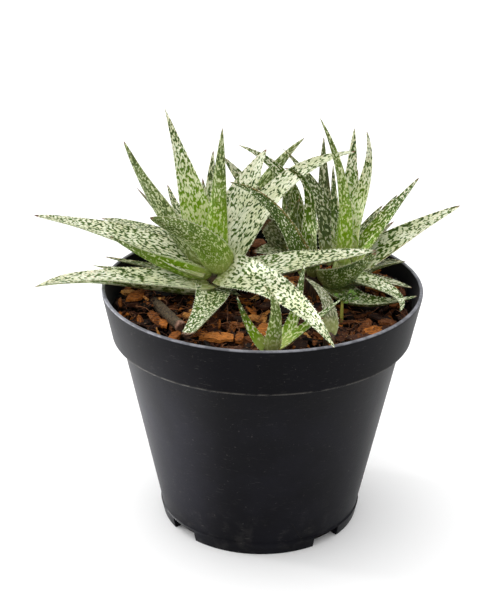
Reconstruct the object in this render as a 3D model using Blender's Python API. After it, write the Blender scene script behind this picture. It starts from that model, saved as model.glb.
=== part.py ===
"""A small speckled aloe in a plain black nursery pot: two large heads of leaves, two smaller heads
behind them, and offsets at the front. Sizes are in millimetres and become metres in mesh_object.
The origin is the middle of the pot's base, +Z is up, and the pot's front faces -Y."""

import math
import random
from collections import namedtuple

import bmesh
import bpy
import numpy as np
from mathutils import Vector

MM = 0.001
GAP = 0.3

# The pot
POT_HEIGHT = 102.7
RIM_RADIUS = 65.0
BAND_BOTTOM = 83.0
BAND_BOTTOM_RADIUS = 61.3
BAND_STEP_HEIGHT = 0.6
WALL_TOP_RADIUS = 57.8
BASE_RADIUS = 41.6
WALL = 1.4
WALL_SLOPE = 0.2
RIM_ROUND = 0.7
BASE_THICKNESS = 1.8
FOOT_HEIGHT = 5.3
FOOT_STEP = 0.5
POT_STEPS = 48
NOTCH_HEIGHT = 5.0
NOTCH_WIDTH = 13.5
NOTCH_REACH = 12.0
NOTCH_FIRST = 41.0
NOTCHES = 4

# The potting mix
MIX_LEVEL = 92.4
MIX_RISE = 1.6
MIX_LUMPS = 0.7
MIX_EDGE = 60.0
MIX_STEPS = 32
MIX_RINGS = 5
HOLE_BOTTOM = 80.0
CHIPS = 44
CHIP_EDGE = 52.5
CHIP_SPACING = 5.0
CHIP_LENGTH = (9.0, 17.0)
CHIP_THICKNESS = (2.4, 3.6)
CHIP_HEADROOM = 3.4
CHIP_SIDES = 5

# The leaves
TOOTH_HEIGHT = 0.55
TOOTH_BASE = 1.2
TOOTH_PITCH = 5.0
TOOTHED_WIDTH = 3.0
WIDEST = 0.15
CHANNEL = 0.11
DEPTH = 0.34
STEM_SIDES = 12

# A leaf: the height of its root on the stem, the points that its middle line passes through up to
# its tip, its greatest width, the way that its upper face looks, how much of that width is left
# at a broken tip, the place of its root where that isn't beside the stem's middle, and how it
# narrows, from 1 for straight edges to less for bulging ones.
Leaf = namedtuple("Leaf", "name seat path width face blunt root taper",
                  defaults=(None, 0.0, None, 0.75))
# A head: where its stem stands, the stem's radius, the height of the stem's top, and its leaves.
Head = namedtuple("Head", "x y radius top leaves")

LEFT = Head(-20, 17, 6.5, 108, [
    Leaf("long_left", 104, [(-57, 20, 116), (-96, 29, 120.5)], 16.5, (0.1, -0.3, 0.95),
         root=(-22, 11, 104.5)),
    Leaf("behind_long_left", 104, [(-47.7, 33, 113.5), (-69.6, 45, 113.5)], 14),
    Leaf("under_long_left", 101, [(-46, 13, 110), (-63, 16, 116.5)], 16, (0.1, 0.5, 0.85)),
    Leaf("low_left", 98, [(-56, -3, 107), (-76, -11, 109), (-90, -18, 107.5)], 19,
         (0, -0.1, 1), root=(-22, 10, 100.3)),
    Leaf("behind_low_left", 99, [(-47, 9, 103.5), (-70, 8, 106.8)], 11),
    Leaf("back_low_left", 99, [(-46, 20, 102), (-66, 21, 105.3)], 8),
    Leaf("front_upright", 105, [(-21, 6, 115.5), (-28, 1.5, 123), (-44.5, -8, 133.5)], 15,
         (0.1, 1, 0.1), root=(-18.5, 12, 105), taper=0.62),
    Leaf("left_upright", 105.5, [(-42, 18.5, 129.5), (-57, 25, 154.5)], 14, (0.6, 0.8, 0.2)),
    Leaf("dry_left", 105, [(-41, 27, 121), (-53.3, 36, 131)], 7),
    Leaf("small_back_left", 105.5, [(-32, 30, 116), (-40.6, 44, 129.6)], 9),
    Leaf("small_back", 105.5, [(-23.5, 30, 122), (-25.4, 40, 134)], 7),
    Leaf("tallest", 105.5, [(-30.5, 20, 138.5), (-40.5, 30, 167.5)], 18, (0.35, -0.85, 0.4),
         taper=1.1),
    Leaf("heart", 105.5, [(-17.5, 8, 144), (-16.3, 6, 166)], 10, (0.1, 0.9, 0.3)),
    Leaf("behind_heart", 105.5, [(-21.5, 25, 131), (-20.6, 32, 148.7)], 9, (0, -0.9, 0.3)),
    Leaf("long_right", 104, [(-5, 19, 120.5), (4, 24.5, 136.5), (20, 27, 142.8), (38, 28, 150.3)],
         14.5, (-0.3, -0.65, 0.65)),
    Leaf("broad_back", 105, [(-8.3, 30, 132), (1.5, 43, 146)], 19, (-0.2, -0.8, 0.55)),
    Leaf("level_right", 99, [(15, 0, 113), (45.5, -4, 119)], 18, (0, -0.35, 0.93)),
    Leaf("over_the_rim", 103, [(-1, -15, 110.5), (13, -38, 110.5), (26, -64, 104)], 15,
         (-0.45, -0.6, 0.65), root=(-18.5, 11, 104)),
    Leaf("broken_front", 98, [(-22, -18, 100.3), (-29, -40, 98)], 15, None, 0.2),
    Leaf("short_front", 97, [(-14, 3, 98.5), (-8, -4, 98.5)], 8),
])
RIGHT = Head(34, 20, 6.0, 108, [
    Leaf("heart", 105.5, [(32, 13, 141), (29, 12, 152.5), (21.8, 12, 169)], 7, (0.3, 0.9, 0.3)),
    Leaf("dark_back", 103, [(26, 35, 130), (25.3, 39, 153)], 9, root=(29.5, 23, 103)),
    Leaf("small_back", 105, [(29.7, 28, 131), (29.1, 32, 143)], 6),
    Leaf("back_upright", 105, [(36.5, 28, 139), (37.5, 33, 158.5)], 10, (0, -0.9, 0.3)),
    Leaf("dry_back", 105, [(38.5, 30, 128.8), (39.7, 34, 140.5)], 6),
    Leaf("bowed_upright", 105, [(37.5, 22, 122), (43, 23, 147), (41.7, 24, 160)], 9.5,
         (-0.5, -0.8, 0.3)),
    Leaf("rising_right", 105, [(49.5, 17, 124.5), (63.5, 18, 142.4)], 10.5, (-0.6, -0.5, 0.6)),
    Leaf("behind_rising", 104, [(46.5, 25, 120), (56.2, 28, 131.5)], 9),
    Leaf("small_right", 103, [(43.3, 29, 117), (50.8, 33, 125)], 8),
    Leaf("dry_right", 102, [(47, 28, 112), (56.2, 36, 116.8)], 8),
    Leaf("long_right", 102, [(60.5, 15, 120.5), (81.3, 20, 129.7)], 13.5, (-0.3, -0.6, 0.75)),
    Leaf("low_right", 99, [(52, 14, 107), (59.3, 12, 107.8)], 12),
    Leaf("bulging_front", 100, [(35, 2, 107), (46, 2, 115.8)], 16, (0.1, 0.8, 0.6),
         root=(28, 14, 101)),
    Leaf("lying_right", 97, [(44, -8, 99), (62, -10.3, 102)], 13, (0, -0.1, 1),
         root=(30, 14, 98)),
    Leaf("claw", 101, [(43.5, 0, 104.5), (54.3, -16, 103.3), (53.3, -26, 102)], 10,
         (0.2, -0.5, 0.85)),
    Leaf("inside_rim", 98, [(50.5, 6, 102), (60.8, -1, 101.5)], 11.5),
    Leaf("dull_left", 102, [(23, 30, 130.5), (7.7, 42, 147.2)], 12, (-0.3, -0.8, 0.5),
         taper=1.1),
])
MIDDLE = Head(21, 16, 4.5, 104, [
    Leaf("dark_left", 101, [(7.4, 12, 126.5), (-3.5, 9, 138.2), (-14, 8, 143.2)], 9.5,
         (0.2, -0.7, 0.7)),
    Leaf("dark_upright", 102, [(19.5, 20, 127), (15.6, 17, 142), (8.3, 14, 147)], 9,
         (-0.6, -0.7, 0.3)),
    Leaf("small_back", 102, [(12, 24, 114), (10, 34, 124)], 9),
    Leaf("small_front", 101, [(21, 10, 111), (20, 11, 120)], 6),
])
BACK_LEFT = Head(-9, 48.5, 4.5, 103, [
    Leaf("crossing", 101, [(1.5, 56, 126.5), (18.2, 58, 146.7)], 10, (0.4, 0.7, 0.5)),
    Leaf("narrow", 101, [(-3.5, 57, 119), (-0.5, 60, 136)], 8),
    Leaf("low_back", 100, [(-22, 54, 108), (-33, 53, 112)], 9),
])
BACK_RIGHT = Head(16, 45, 4.5, 104, [
    Leaf("bowed_left", 102, [(9.5, 46, 132), (-10.5, 47, 146.5)], 8.5, (-0.2, -0.7, 0.6)),
    Leaf("pale_left", 101, [(-4.5, 45.5, 126), (-17, 48, 141)], 13, (-0.2, -0.7, 0.6)),
    Leaf("small_left", 101, [(11.5, 43, 119), (13.5, 44, 130)], 9),
    Leaf("small_middle", 101, [(10.3, 42, 117.5), (9.6, 42.5, 131)], 9),
    Leaf("small_front", 101, [(13, 39, 115), (15.8, 38, 126)], 8),
    Leaf("low_back", 100, [(26, 52, 111), (36, 54, 117)], 9),
    Leaf("withered", 100, [(6, 41, 109), (-0.5, 40, 115)], 15, (-0.2, -0.8, 0.5), taper=0.5),
    Leaf("lying_left", 98, [(5, 39, 102.5), (-4, 37.5, 101.5)], 12, (0, -0.5, 0.85)),
])
PUP = Head(3, -45, 3.6, 95.5, [
    Leaf("narrow", 94.5, [(-5.5, -45.5, 105), (-9.8, -46, 116.6)], 4.6, (0.3, -0.9, 0.3)),
    Leaf("upright", 94.5, [(4.6, -48, 107), (4.1, -48.5, 115.3), (-0.1, -49, 122.4)], 6.5,
         (0.1, 0.9, 0.3)),
    Leaf("leaning_back", 94.5, [(11, -34, 100), (14.5, -24, 111), (16.5, -15, 118.5)], 6),
    Leaf("leaning_right", 94.5, [(18, -38, 102.5), (31.5, -31, 110.6)], 6.5),
])
DULL_PUP = Head(26, -32, 2.8, 95.5, [
    Leaf("dull", 94.5, [(25.5, -24, 104), (16.3, -14, 111.2)], 7),
])
SEEDLING = Head(32, -10, 0.8, 99, [
    Leaf("left", 98.4, [(31, -11, 101), (29.6, -12, 102.6)], 2.4),
    Leaf("middle", 98.4, [(33.5, -11.5, 102), (35.5, -12.5, 104.6)], 2.4),
    Leaf("right", 98.4, [(34.5, -12, 100.5), (37.6, -13, 101.6)], 2.4),
    Leaf("front", 98.4, [(32.5, -12.5, 99.8), (33.4, -15.4, 100.6)], 2.4),
])

STUB_ENDS = ((-44.0, -2.5, 95.0), (-31.5, -27.5, 95.0))
STUB_RADIUS = 2.4

COLOURS = {
    "pot": ((0.012, 0.012, 0.014), 0.45),
    "potting_mix": ((0.12, 0.04, 0.015), 0.95),
    "aloe": ((0.35, 0.45, 0.24), 0.5),
    "dull_aloe": ((0.22, 0.24, 0.17), 0.7),
    "dead_stub": ((0.16, 0.11, 0.07), 0.9),
    "seedling": ((0.10, 0.30, 0.03), 0.5),
}


def unit(v):
    return v / np.linalg.norm(v, axis=-1, keepdims=True)


def clear_scene():
    for obj in list(bpy.data.objects):
        bpy.data.objects.remove(obj, do_unlink=True)


def material(name):
    colour, roughness = COLOURS[name]
    mat = bpy.data.materials.get(name) or bpy.data.materials.new(name)
    mat.use_nodes = True
    shader = mat.node_tree.nodes["Principled BSDF"]
    shader.inputs["Base Color"].default_value = (*colour, 1)
    shader.inputs["Roughness"].default_value = roughness
    return mat


def mesh_object(name, verts, faces, finish=None):
    """A new object from vertices in millimetres."""
    mesh = bpy.data.meshes.new(name)
    mesh.from_pydata([Vector(v) * MM for v in verts], [], faces)
    mesh.validate()
    if finish:
        mesh.materials.append(material(finish))
    obj = bpy.data.objects.new(name, mesh)
    bpy.context.scene.collection.objects.link(obj)
    return obj


def join_bodies(name, bodies, finish):
    """One solid from overlapping closed bodies, by one union over a collection of them."""
    first, rest = bodies[0], bodies[1:]
    group = bpy.data.collections.new(name + "_bodies")
    bpy.context.scene.collection.children.link(group)
    for body in rest:
        group.objects.link(body)
    union = first.modifiers.new("union", "BOOLEAN")
    union.operation = "UNION"
    union.operand_type = "COLLECTION"
    union.collection = group
    union.solver = "MANIFOLD"
    joined = evaluated_copy(name, first, finish)
    for body in bodies:
        bpy.data.objects.remove(body, do_unlink=True)
    bpy.data.collections.remove(group)
    keep_outer_shell(joined)
    return joined


def shells(shape):
    """The connected groups of vertices of a mesh."""
    left = set(shape.verts)
    groups = []
    while left:
        group = set()
        waiting = [left.pop()]
        while waiting:
            vert = waiting.pop()
            group.add(vert)
            for edge in vert.link_edges:
                other = edge.other_vert(vert)
                if other in left:
                    left.discard(other)
                    waiting.append(other)
        groups.append(group)
    return groups


def keep_outer_shell(obj):
    """Hollows that the union sealed are filled, and loose scraps are dropped."""
    shape = bmesh.new()
    shape.from_mesh(obj.data)
    groups = sorted(shells(shape), key=len)
    for group in groups[:-1]:
        bmesh.ops.delete(shape, geom=list(group), context="VERTS")
    shape.to_mesh(obj.data)
    shape.free()


def evaluated_copy(name, obj, finish):
    bpy.context.view_layer.update()
    graph = bpy.context.evaluated_depsgraph_get()
    mesh = bpy.data.meshes.new_from_object(obj.evaluated_get(graph))
    mesh.name = name
    mesh.materials.clear()
    mesh.materials.append(material(finish))
    copy = bpy.data.objects.new(name, mesh)
    bpy.context.scene.collection.objects.link(copy)
    return copy


def cut(obj, cutters, finish):
    """The object with every cutter taken away from it."""
    name = obj.name
    obj.name = name + "_blank"
    for cutter in cutters:
        cutter.hide_render = True
        cutter.display_type = "WIRE"
        step = obj.modifiers.new("cut", "BOOLEAN")
        step.operation = "DIFFERENCE"
        step.object = cutter
        step.solver = "EXACT"
    result = evaluated_copy(name, obj, finish)
    for body in [obj, *cutters]:
        bpy.data.objects.remove(body, do_unlink=True)
    return result


def turned(name, profile, steps, finish=None):
    """A body turned about Z from (radius, height) points, the first and last on the axis."""
    verts = [(0.0, 0.0, profile[0][1])]
    rings = profile[1:-1]
    for radius, height in rings:
        for k in range(steps):
            turn = 2 * math.pi * k / steps
            verts.append((radius * math.cos(turn), radius * math.sin(turn), height))
    verts.append((0.0, 0.0, profile[-1][1]))
    faces = []
    for k in range(steps):
        after = (k + 1) % steps
        faces.append((0, 1 + after, 1 + k))
        for ring in range(len(rings) - 1):
            low, high = 1 + ring * steps, 1 + (ring + 1) * steps
            faces.append((low + k, low + after, high + after, high + k))
        last = 1 + (len(rings) - 1) * steps
        faces.append((last + k, last + after, len(verts) - 1))
    return mesh_object(name, verts, faces, finish)


def make_pot():
    """The moulded pot: a tapered wall, a wider band at the rim and notches round the base."""
    foot_radius = BASE_RADIUS + WALL_SLOPE * FOOT_HEIGHT
    profile = [
        (0, 0),
        (BASE_RADIUS, 0),
        (foot_radius, FOOT_HEIGHT),
        (foot_radius - FOOT_STEP, FOOT_HEIGHT + FOOT_STEP),
        (WALL_TOP_RADIUS, BAND_BOTTOM - BAND_STEP_HEIGHT),
        (BAND_BOTTOM_RADIUS, BAND_BOTTOM),
        (RIM_RADIUS, POT_HEIGHT - RIM_ROUND),
        (RIM_RADIUS - 0.6 * RIM_ROUND, POT_HEIGHT),
        (RIM_RADIUS - WALL, POT_HEIGHT),
        (RIM_RADIUS - WALL - 0.4 * RIM_ROUND, POT_HEIGHT - RIM_ROUND),
        (BAND_BOTTOM_RADIUS - WALL, BAND_BOTTOM + WALL),
        (WALL_TOP_RADIUS - WALL, BAND_BOTTOM - BAND_STEP_HEIGHT + WALL),
        (BASE_RADIUS - WALL + WALL_SLOPE * BASE_THICKNESS, BASE_THICKNESS),
        (0, BASE_THICKNESS),
    ]
    pot = turned("pot", profile, POT_STEPS, "pot")
    return cut(pot, [notch_cutter(k) for k in range(NOTCHES)], "pot")


def notch_cutter(number):
    """A block from below the base up to a notch's top, and from the floor out past the wall."""
    turn = math.radians(NOTCH_FIRST + 360 / NOTCHES * number)
    out = np.array([math.cos(turn), math.sin(turn), 0])
    side = np.array([-math.sin(turn), math.cos(turn), 0])
    near, far = BASE_RADIUS - NOTCH_REACH, BASE_RADIUS + NOTCH_REACH / 2
    corners = []
    for height in (-NOTCH_HEIGHT, NOTCH_HEIGHT):
        for reach, across in ((near, -1), (far, -1), (far, 1), (near, 1)):
            corner = out * reach + side * across * NOTCH_WIDTH / 2
            corners.append((corner[0], corner[1], height))
    faces = [(0, 3, 2, 1), (4, 5, 6, 7)]
    faces += [(i, (i + 1) % 4, (i + 1) % 4 + 4, i + 4) for i in range(4)]
    return mesh_object(f"notch_{number}", corners, faces)


def leaf_root(head, leaf):
    if leaf.root:
        return np.array(leaf.root, float)
    out = np.array([leaf.path[0][0] - head.x, leaf.path[0][1] - head.y])
    out = out / np.linalg.norm(out) * 0.45 * head.radius
    return np.array([head.x + out[0], head.y + out[1], leaf.seat])


class Spine:
    """The middle line of a leaf, a curve through its points, with the way that its face looks."""

    def __init__(self, head, leaf):
        points = np.array([leaf_root(head, leaf), *leaf.path], float)
        steps = np.linalg.norm(np.diff(points, axis=0), axis=1)
        at = np.concatenate([[0.0], np.cumsum(steps)]) / steps.sum()
        degree = min(3, len(points) - 1)
        self.length = steps.sum()
        self.curve = [np.polyfit(at, points[:, k], degree) for k in range(3)]
        self.leaf = leaf
        out = points[-1] - points[0]
        out[2] = 0.0
        self.face = np.array(leaf.face or (0, 0, 1), float)
        if not leaf.face:
            self.face -= unit(out)

    def point(self, t):
        return np.stack([np.polyval(c, t) for c in self.curve], -1)

    def frame(self, t):
        """The directions across the leaf and out of its upper face."""
        along = unit(np.stack([np.polyval(np.polyder(c), t) for c in self.curve], -1))
        up = unit(self.face - (along @ self.face)[..., None] * along)
        return np.cross(along, up), up

    def half_width(self, t):
        left = 1 - t * (1 - self.leaf.blunt)
        taper = np.minimum(1.0, left / (1 - WIDEST)) ** self.leaf.taper
        swell = 1 - 0.2 * np.clip(1 - t / WIDEST, 0, 1) ** 2
        return 0.5 * self.leaf.width * taper * swell

    def at(self, t, across, below, out=0.0):
        """A point across the leaf in half widths and below its margins in widths."""
        t = np.array([t], float)
        side, up = self.frame(t)
        half = self.half_width(t)[:, None]
        place = self.point(t) + side * half * across - up * half * 2 * below
        return (place + side * np.sign(across) * out)[0]


def tooth_stations(spine):
    """Places along a margin, each with how far it stands out."""
    stations = []
    place = 0.16 * spine.length
    end = 0.88 * spine.length if spine.leaf.width > TOOTHED_WIDTH else 0.0
    while place < end:
        for step, height in ((-0.5, 0.0), (0.0, TOOTH_HEIGHT), (0.5, 0.0)):
            stations.append(((place + step * TOOTH_BASE) / spine.length, height))
        place += TOOTH_PITCH
    return stations


def margin_places(spine, rings):
    """The rings' places, without those that fall on a tooth, and the teeth's own."""
    stations = tooth_stations(spine)
    clear = 0.25 * TOOTH_BASE + 0.5
    free = [t for t in rings
            if all(abs(t - place) * spine.length > clear for place, _ in stations)]
    return sorted([(t, 0.0) for t in free] + stations)


def zip_lines(a, b):
    """Triangles between two lines of (place, vertex), from the root to the tip."""
    faces = []
    i = j = 0
    while i < len(a) - 1 or j < len(b) - 1:
        if j == len(b) - 1 or (i < len(a) - 1 and a[i + 1][0] <= b[j + 1][0]):
            faces.append((a[i][1], b[j][1], a[i + 1][1]))
            i += 1
        else:
            faces.append((a[i][1], b[j][1], b[j + 1][1]))
            j += 1
    return faces


def leaf_body(name, head, leaf):
    """A leaf as six lines from root to tip: two toothed margins, a sunk face and a round back."""
    spine = Spine(head, leaf)
    count = round(3.6 + spine.length / 16)
    rings = [(k / count) ** 0.9 for k in range(count)]
    back = 0.72 * DEPTH
    lines = [(-1, 0), (0, CHANNEL), (1, 0), (0.62, back), (0, DEPTH), (-0.62, back)]
    verts = []
    columns = []
    for across, below in lines:
        places = margin_places(spine, rings) if below == 0 else [(t, 0.0) for t in rings]
        column = []
        for t, out in places:
            column.append((t, len(verts)))
            verts.append(spine.at(t, across, below, out))
        columns.append(column)
    end = len(verts)
    if leaf.blunt:
        verts += [spine.at(1.0, across, below) for across, below in lines]
    verts.append(spine.at(1.0, 0, DEPTH / 2 if leaf.blunt else 0))
    faces = []
    for k in range(len(lines)):
        after = (k + 1) % len(lines)
        tips = (end + k, end + after) if leaf.blunt else (end, end)
        faces += zip_lines(columns[k] + [(1.0, tips[0])], columns[after] + [(1.0, tips[1])])
        if leaf.blunt:
            faces.append((end + k, end + after, len(verts) - 1))
    faces = [face for face in faces if len(set(face)) == 3]
    root = len(verts)
    verts.append(np.mean([verts[column[0][1]] for column in columns], axis=0))
    for k, column in enumerate(columns):
        faces.append((root, columns[(k + 1) % len(columns)][0][1], column[0][1]))
    return mesh_object(name, verts, faces)


def stem_body(name, head, radius, top, bottom):
    """A straight stem with a shouldered top."""
    profile = [(0, bottom), (radius, bottom), (radius, top - 0.6 * radius),
               (0.6 * radius, top), (0, top)]
    stem = turned(name, profile, STEM_SIDES)
    for vert in stem.data.vertices:
        vert.co += Vector((head.x, head.y, 0)) * MM
    return stem


def make_plant(name, heads, finish):
    """Heads that press on each other, with their stems and every leaf, as one solid."""
    bodies = []
    for number, head in enumerate(heads):
        stem = f"{name}_{number}_stem"
        bodies.append(stem_body(stem, head, head.radius, head.top, HOLE_BOTTOM + GAP))
        bodies += [leaf_body(f"{name}_{number}_{leaf.name}", head, leaf) for leaf in head.leaves]
    return join_bodies(name, bodies, finish)


def make_stub():
    """The dead stub of a flower stalk, lying in the mix, with a ragged end."""
    rng = random.Random(5)
    start, end = (np.array(p) for p in STUB_ENDS)
    along = unit(end - start)
    side = unit(np.cross(along, (0, 0, 1)))
    up = np.cross(side, along)
    rings = 6
    sides = 8
    verts = []
    for ring in range(rings):
        t = ring / (rings - 1)
        for k in range(sides):
            turn = 2 * math.pi * k / sides
            radius = STUB_RADIUS * rng.uniform(0.85, 1.0)
            place = start + (end - start) * t
            if ring == rings - 1:
                place = place + along * rng.uniform(-1.5, 1.0)
            offset = side * math.cos(turn) + up * math.sin(turn)
            verts.append(place + offset * radius)
    faces = [tuple(range(sides))[::-1], tuple(range((rings - 1) * sides, rings * sides))]
    for ring in range(rings - 1):
        for k in range(sides):
            after = (k + 1) % sides
            low, high = ring * sides, (ring + 1) * sides
            faces.append((low + k, low + after, high + after, high + k))
    stub = mesh_object("dead_stub", verts, faces, "dead_stub")
    shape = bmesh.new()
    shape.from_mesh(stub.data)
    bmesh.ops.triangulate(shape, faces=shape.faces)
    bmesh.ops.recalc_face_normals(shape, faces=shape.faces)
    shape.to_mesh(stub.data)
    shape.free()
    return stub


def mix_height(x, y):
    """The level of the mix, higher towards the back left, with gentle lumps."""
    rise = MIX_RISE * (y - x) / RIM_RADIUS / 2
    lumps = MIX_LUMPS * math.sin(0.23 * x + 0.4) * math.sin(0.19 * y + 1.1)
    return MIX_LEVEL + rise + lumps


class Headroom:
    """How high the mix may come at a place: under the lowest leaf near it."""

    def __init__(self, objects):
        points = []
        for obj in objects:
            mesh = obj.data
            points += [np.array(v.co) / MM for v in mesh.vertices]
            points += [np.array(mesh.vertices[a].co + mesh.vertices[b].co) / 2 / MM
                       for a, b in (edge.vertices for edge in mesh.edges)]
        points = np.array(points)
        self.points = points[points[:, 2] > MIX_LEVEL - MIX_RISE]

    def over(self, x, y, reach):
        near = np.hypot(self.points[:, 0] - x, self.points[:, 1] - y) < reach
        return self.points[near, 2].min() - GAP if near.any() else math.inf

    def mix_top(self, x, y):
        return min(mix_height(x, y), self.over(x, y, CHIP_SPACING))


def chip_body(name, rng, x, y, z):
    """A flat bark chip with an uneven outline, tilted and turned."""
    length = rng.uniform(*CHIP_LENGTH)
    width = length * rng.uniform(0.35, 0.6)
    thick = rng.uniform(*CHIP_THICKNESS)
    turn = rng.uniform(0, math.pi)
    tilt = rng.uniform(-0.22, 0.22)
    outline = []
    for k in range(CHIP_SIDES):
        angle = 2 * math.pi * (k + rng.uniform(-0.2, 0.2)) / CHIP_SIDES
        outline.append((0.5 * length * math.cos(angle), 0.5 * width * math.sin(angle)))
    verts = []
    for level in (-0.5, 0.5):
        for u, v in outline:
            rise = level * thick + u * math.sin(tilt)
            verts.append((x + u * math.cos(turn) - v * math.sin(turn),
                          y + u * math.sin(turn) + v * math.cos(turn), z + rise))
    ring = range(CHIP_SIDES)
    faces = [tuple(ring)[::-1], tuple(k + CHIP_SIDES for k in ring)]
    faces += [(k, (k + 1) % CHIP_SIDES, (k + 1) % CHIP_SIDES + CHIP_SIDES, k + CHIP_SIDES)
              for k in ring]
    return mesh_object(name, verts, faces)


def mix_body(headroom):
    """The mix as it fills the pot, with an uneven top that keeps under the leaves."""
    inside = GAP + WALL
    shoulder = BAND_BOTTOM + WALL
    floor = BASE_THICKNESS + GAP
    rings = [
        (BASE_RADIUS - inside + WALL_SLOPE * BASE_THICKNESS, floor),
        (WALL_TOP_RADIUS - inside, shoulder - BAND_STEP_HEIGHT + GAP),
        (BAND_BOTTOM_RADIUS - inside - GAP, shoulder + BAND_STEP_HEIGHT),
    ]
    rings += [(MIX_EDGE * (MIX_RINGS - ring) / MIX_RINGS, None) for ring in range(MIX_RINGS)]
    verts = [(0.0, 0.0, floor)]
    for radius, height in rings:
        for k in range(MIX_STEPS):
            turn = 2 * math.pi * k / MIX_STEPS
            x, y = radius * math.cos(turn), radius * math.sin(turn)
            verts.append((x, y, headroom.mix_top(x, y) if height is None else height))
    verts.append((0.0, 0.0, headroom.mix_top(0, 0)))
    faces = []
    for k in range(MIX_STEPS):
        after = (k + 1) % MIX_STEPS
        faces.append((0, 1 + after, 1 + k))
        for ring in range(len(rings) - 1):
            low, high = 1 + ring * MIX_STEPS, 1 + (ring + 1) * MIX_STEPS
            faces.append((low + k, low + after, high + after))
            faces.append((low + k, high + after, high + k))
        last = 1 + (len(rings) - 1) * MIX_STEPS
        faces.append((last + k, last + after, len(verts) - 1))
    return mesh_object("mix", verts, faces)


def make_mix(plants, heads):
    """The potting mix, with bark chips in its surface and a plain hole for each stem."""
    rng = random.Random(11)
    headroom = Headroom(plants)
    bodies = [mix_body(headroom)]
    placed = []
    while len(placed) < CHIPS:
        radius = CHIP_EDGE * math.sqrt(rng.random())
        turn = rng.uniform(0, 2 * math.pi)
        x, y = radius * math.cos(turn), radius * math.sin(turn)
        close = any(math.hypot(x - px, y - py) < CHIP_SPACING for px, py in placed)
        on_stem = any(math.hypot(x - head.x, y - head.y) < head.radius + CHIP_SPACING
                      for head in heads)
        if close or on_stem:
            continue
        placed.append((x, y))
        room = headroom.over(x, y, CHIP_LENGTH[0]) - CHIP_HEADROOM
        z = min(mix_height(x, y) + rng.uniform(-0.8, 0.4), room)
        bodies.append(chip_body(f"chip_{len(placed)}", rng, x, y, z))
    mix = join_bodies("potting_mix", bodies, "potting_mix")
    holes = [stem_body(f"hole_{k}", head, head.radius + GAP, 2 * POT_HEIGHT, HOLE_BOTTOM)
             for k, head in enumerate(heads)]
    return cut(mix, holes, "potting_mix")


def main():
    clear_scene()
    make_pot()
    plants = [
        make_plant("aloe_left", [LEFT], "aloe"),
        make_plant("aloe_right", [RIGHT, MIDDLE], "aloe"),
        make_plant("aloe_back_left", [BACK_LEFT], "aloe"),
        make_plant("aloe_back_right", [BACK_RIGHT], "aloe"),
        make_plant("pup_front", [PUP], "aloe"),
        make_plant("pup_dull", [DULL_PUP], "dull_aloe"),
        make_plant("seedling", [SEEDLING], "seedling"),
        make_stub(),
    ]
    make_mix(plants, [LEFT, RIGHT, MIDDLE, BACK_LEFT, BACK_RIGHT, PUP, DULL_PUP, SEEDLING])


main()
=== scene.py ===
"""The looks of the potted aloe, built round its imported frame: speckled leaves with white teeth, a
scuffed black nursery pot and a bed of bark chips and coir. Lengths are in millimetres until a
piece is made. The places and sizes of the leaves are those of the part's source."""

import math
import random
from collections import namedtuple

import bmesh
import bpy
import numpy as np
from mathutils import Matrix, Vector, noise

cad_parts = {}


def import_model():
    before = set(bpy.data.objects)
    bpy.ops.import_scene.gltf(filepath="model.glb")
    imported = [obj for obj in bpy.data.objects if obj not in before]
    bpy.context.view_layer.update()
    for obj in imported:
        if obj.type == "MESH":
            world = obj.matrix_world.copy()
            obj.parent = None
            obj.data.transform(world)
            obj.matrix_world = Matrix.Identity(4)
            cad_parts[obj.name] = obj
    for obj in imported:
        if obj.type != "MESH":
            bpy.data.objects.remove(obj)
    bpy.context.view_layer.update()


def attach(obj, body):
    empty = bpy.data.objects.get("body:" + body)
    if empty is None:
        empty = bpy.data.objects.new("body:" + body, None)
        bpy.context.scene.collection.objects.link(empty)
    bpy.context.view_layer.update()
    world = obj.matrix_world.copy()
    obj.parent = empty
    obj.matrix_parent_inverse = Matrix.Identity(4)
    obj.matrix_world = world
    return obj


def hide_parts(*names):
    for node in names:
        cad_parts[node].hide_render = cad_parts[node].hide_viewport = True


MM = 0.001
BODY = "root"

# The camera: the picture's height and the focal length in pixels, the sensor's width, the lens's
# place, and how far it looks down and leans, in degrees
PICTURE_HEIGHT = 613
FOCAL_PIXELS = 1400
SENSOR = 36.0
CAMERA_PLACE = Vector((-5.3, -524.5, 321.4))
CAMERA_PITCH = 23.6
CAMERA_ROLL = 0.5

# The light, in metres and degrees: a soft key, a low panel at the left, and a sky that is bright
# on one side, from one cosine of the angle to that side up to another
KEY_WAY = Vector((0.34, -0.08, -0.94))
KEY_STRENGTH = 0.5
KEY_WIDTH = 50
PANEL_PLACE = Vector((-0.44, 0.13, 0.045))
PANEL_AIM = Vector((0.0, 0.0, 0.055))
PANEL_SIZE = (0.30, 0.08)
PANEL_STRENGTH = 0.5
PANEL_SPREAD = 14
SKY_WAY = Vector((-0.42, 0.30, 0.86))
SKY_FROM, SKY_TO = -0.4, 0.95
SKY_DARK, SKY_BRIGHT = 0.84, 1.42
FLOOR_SIDE, FLOOR_FRONT, FLOOR_BACK = 6000, -3000, 9000

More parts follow.
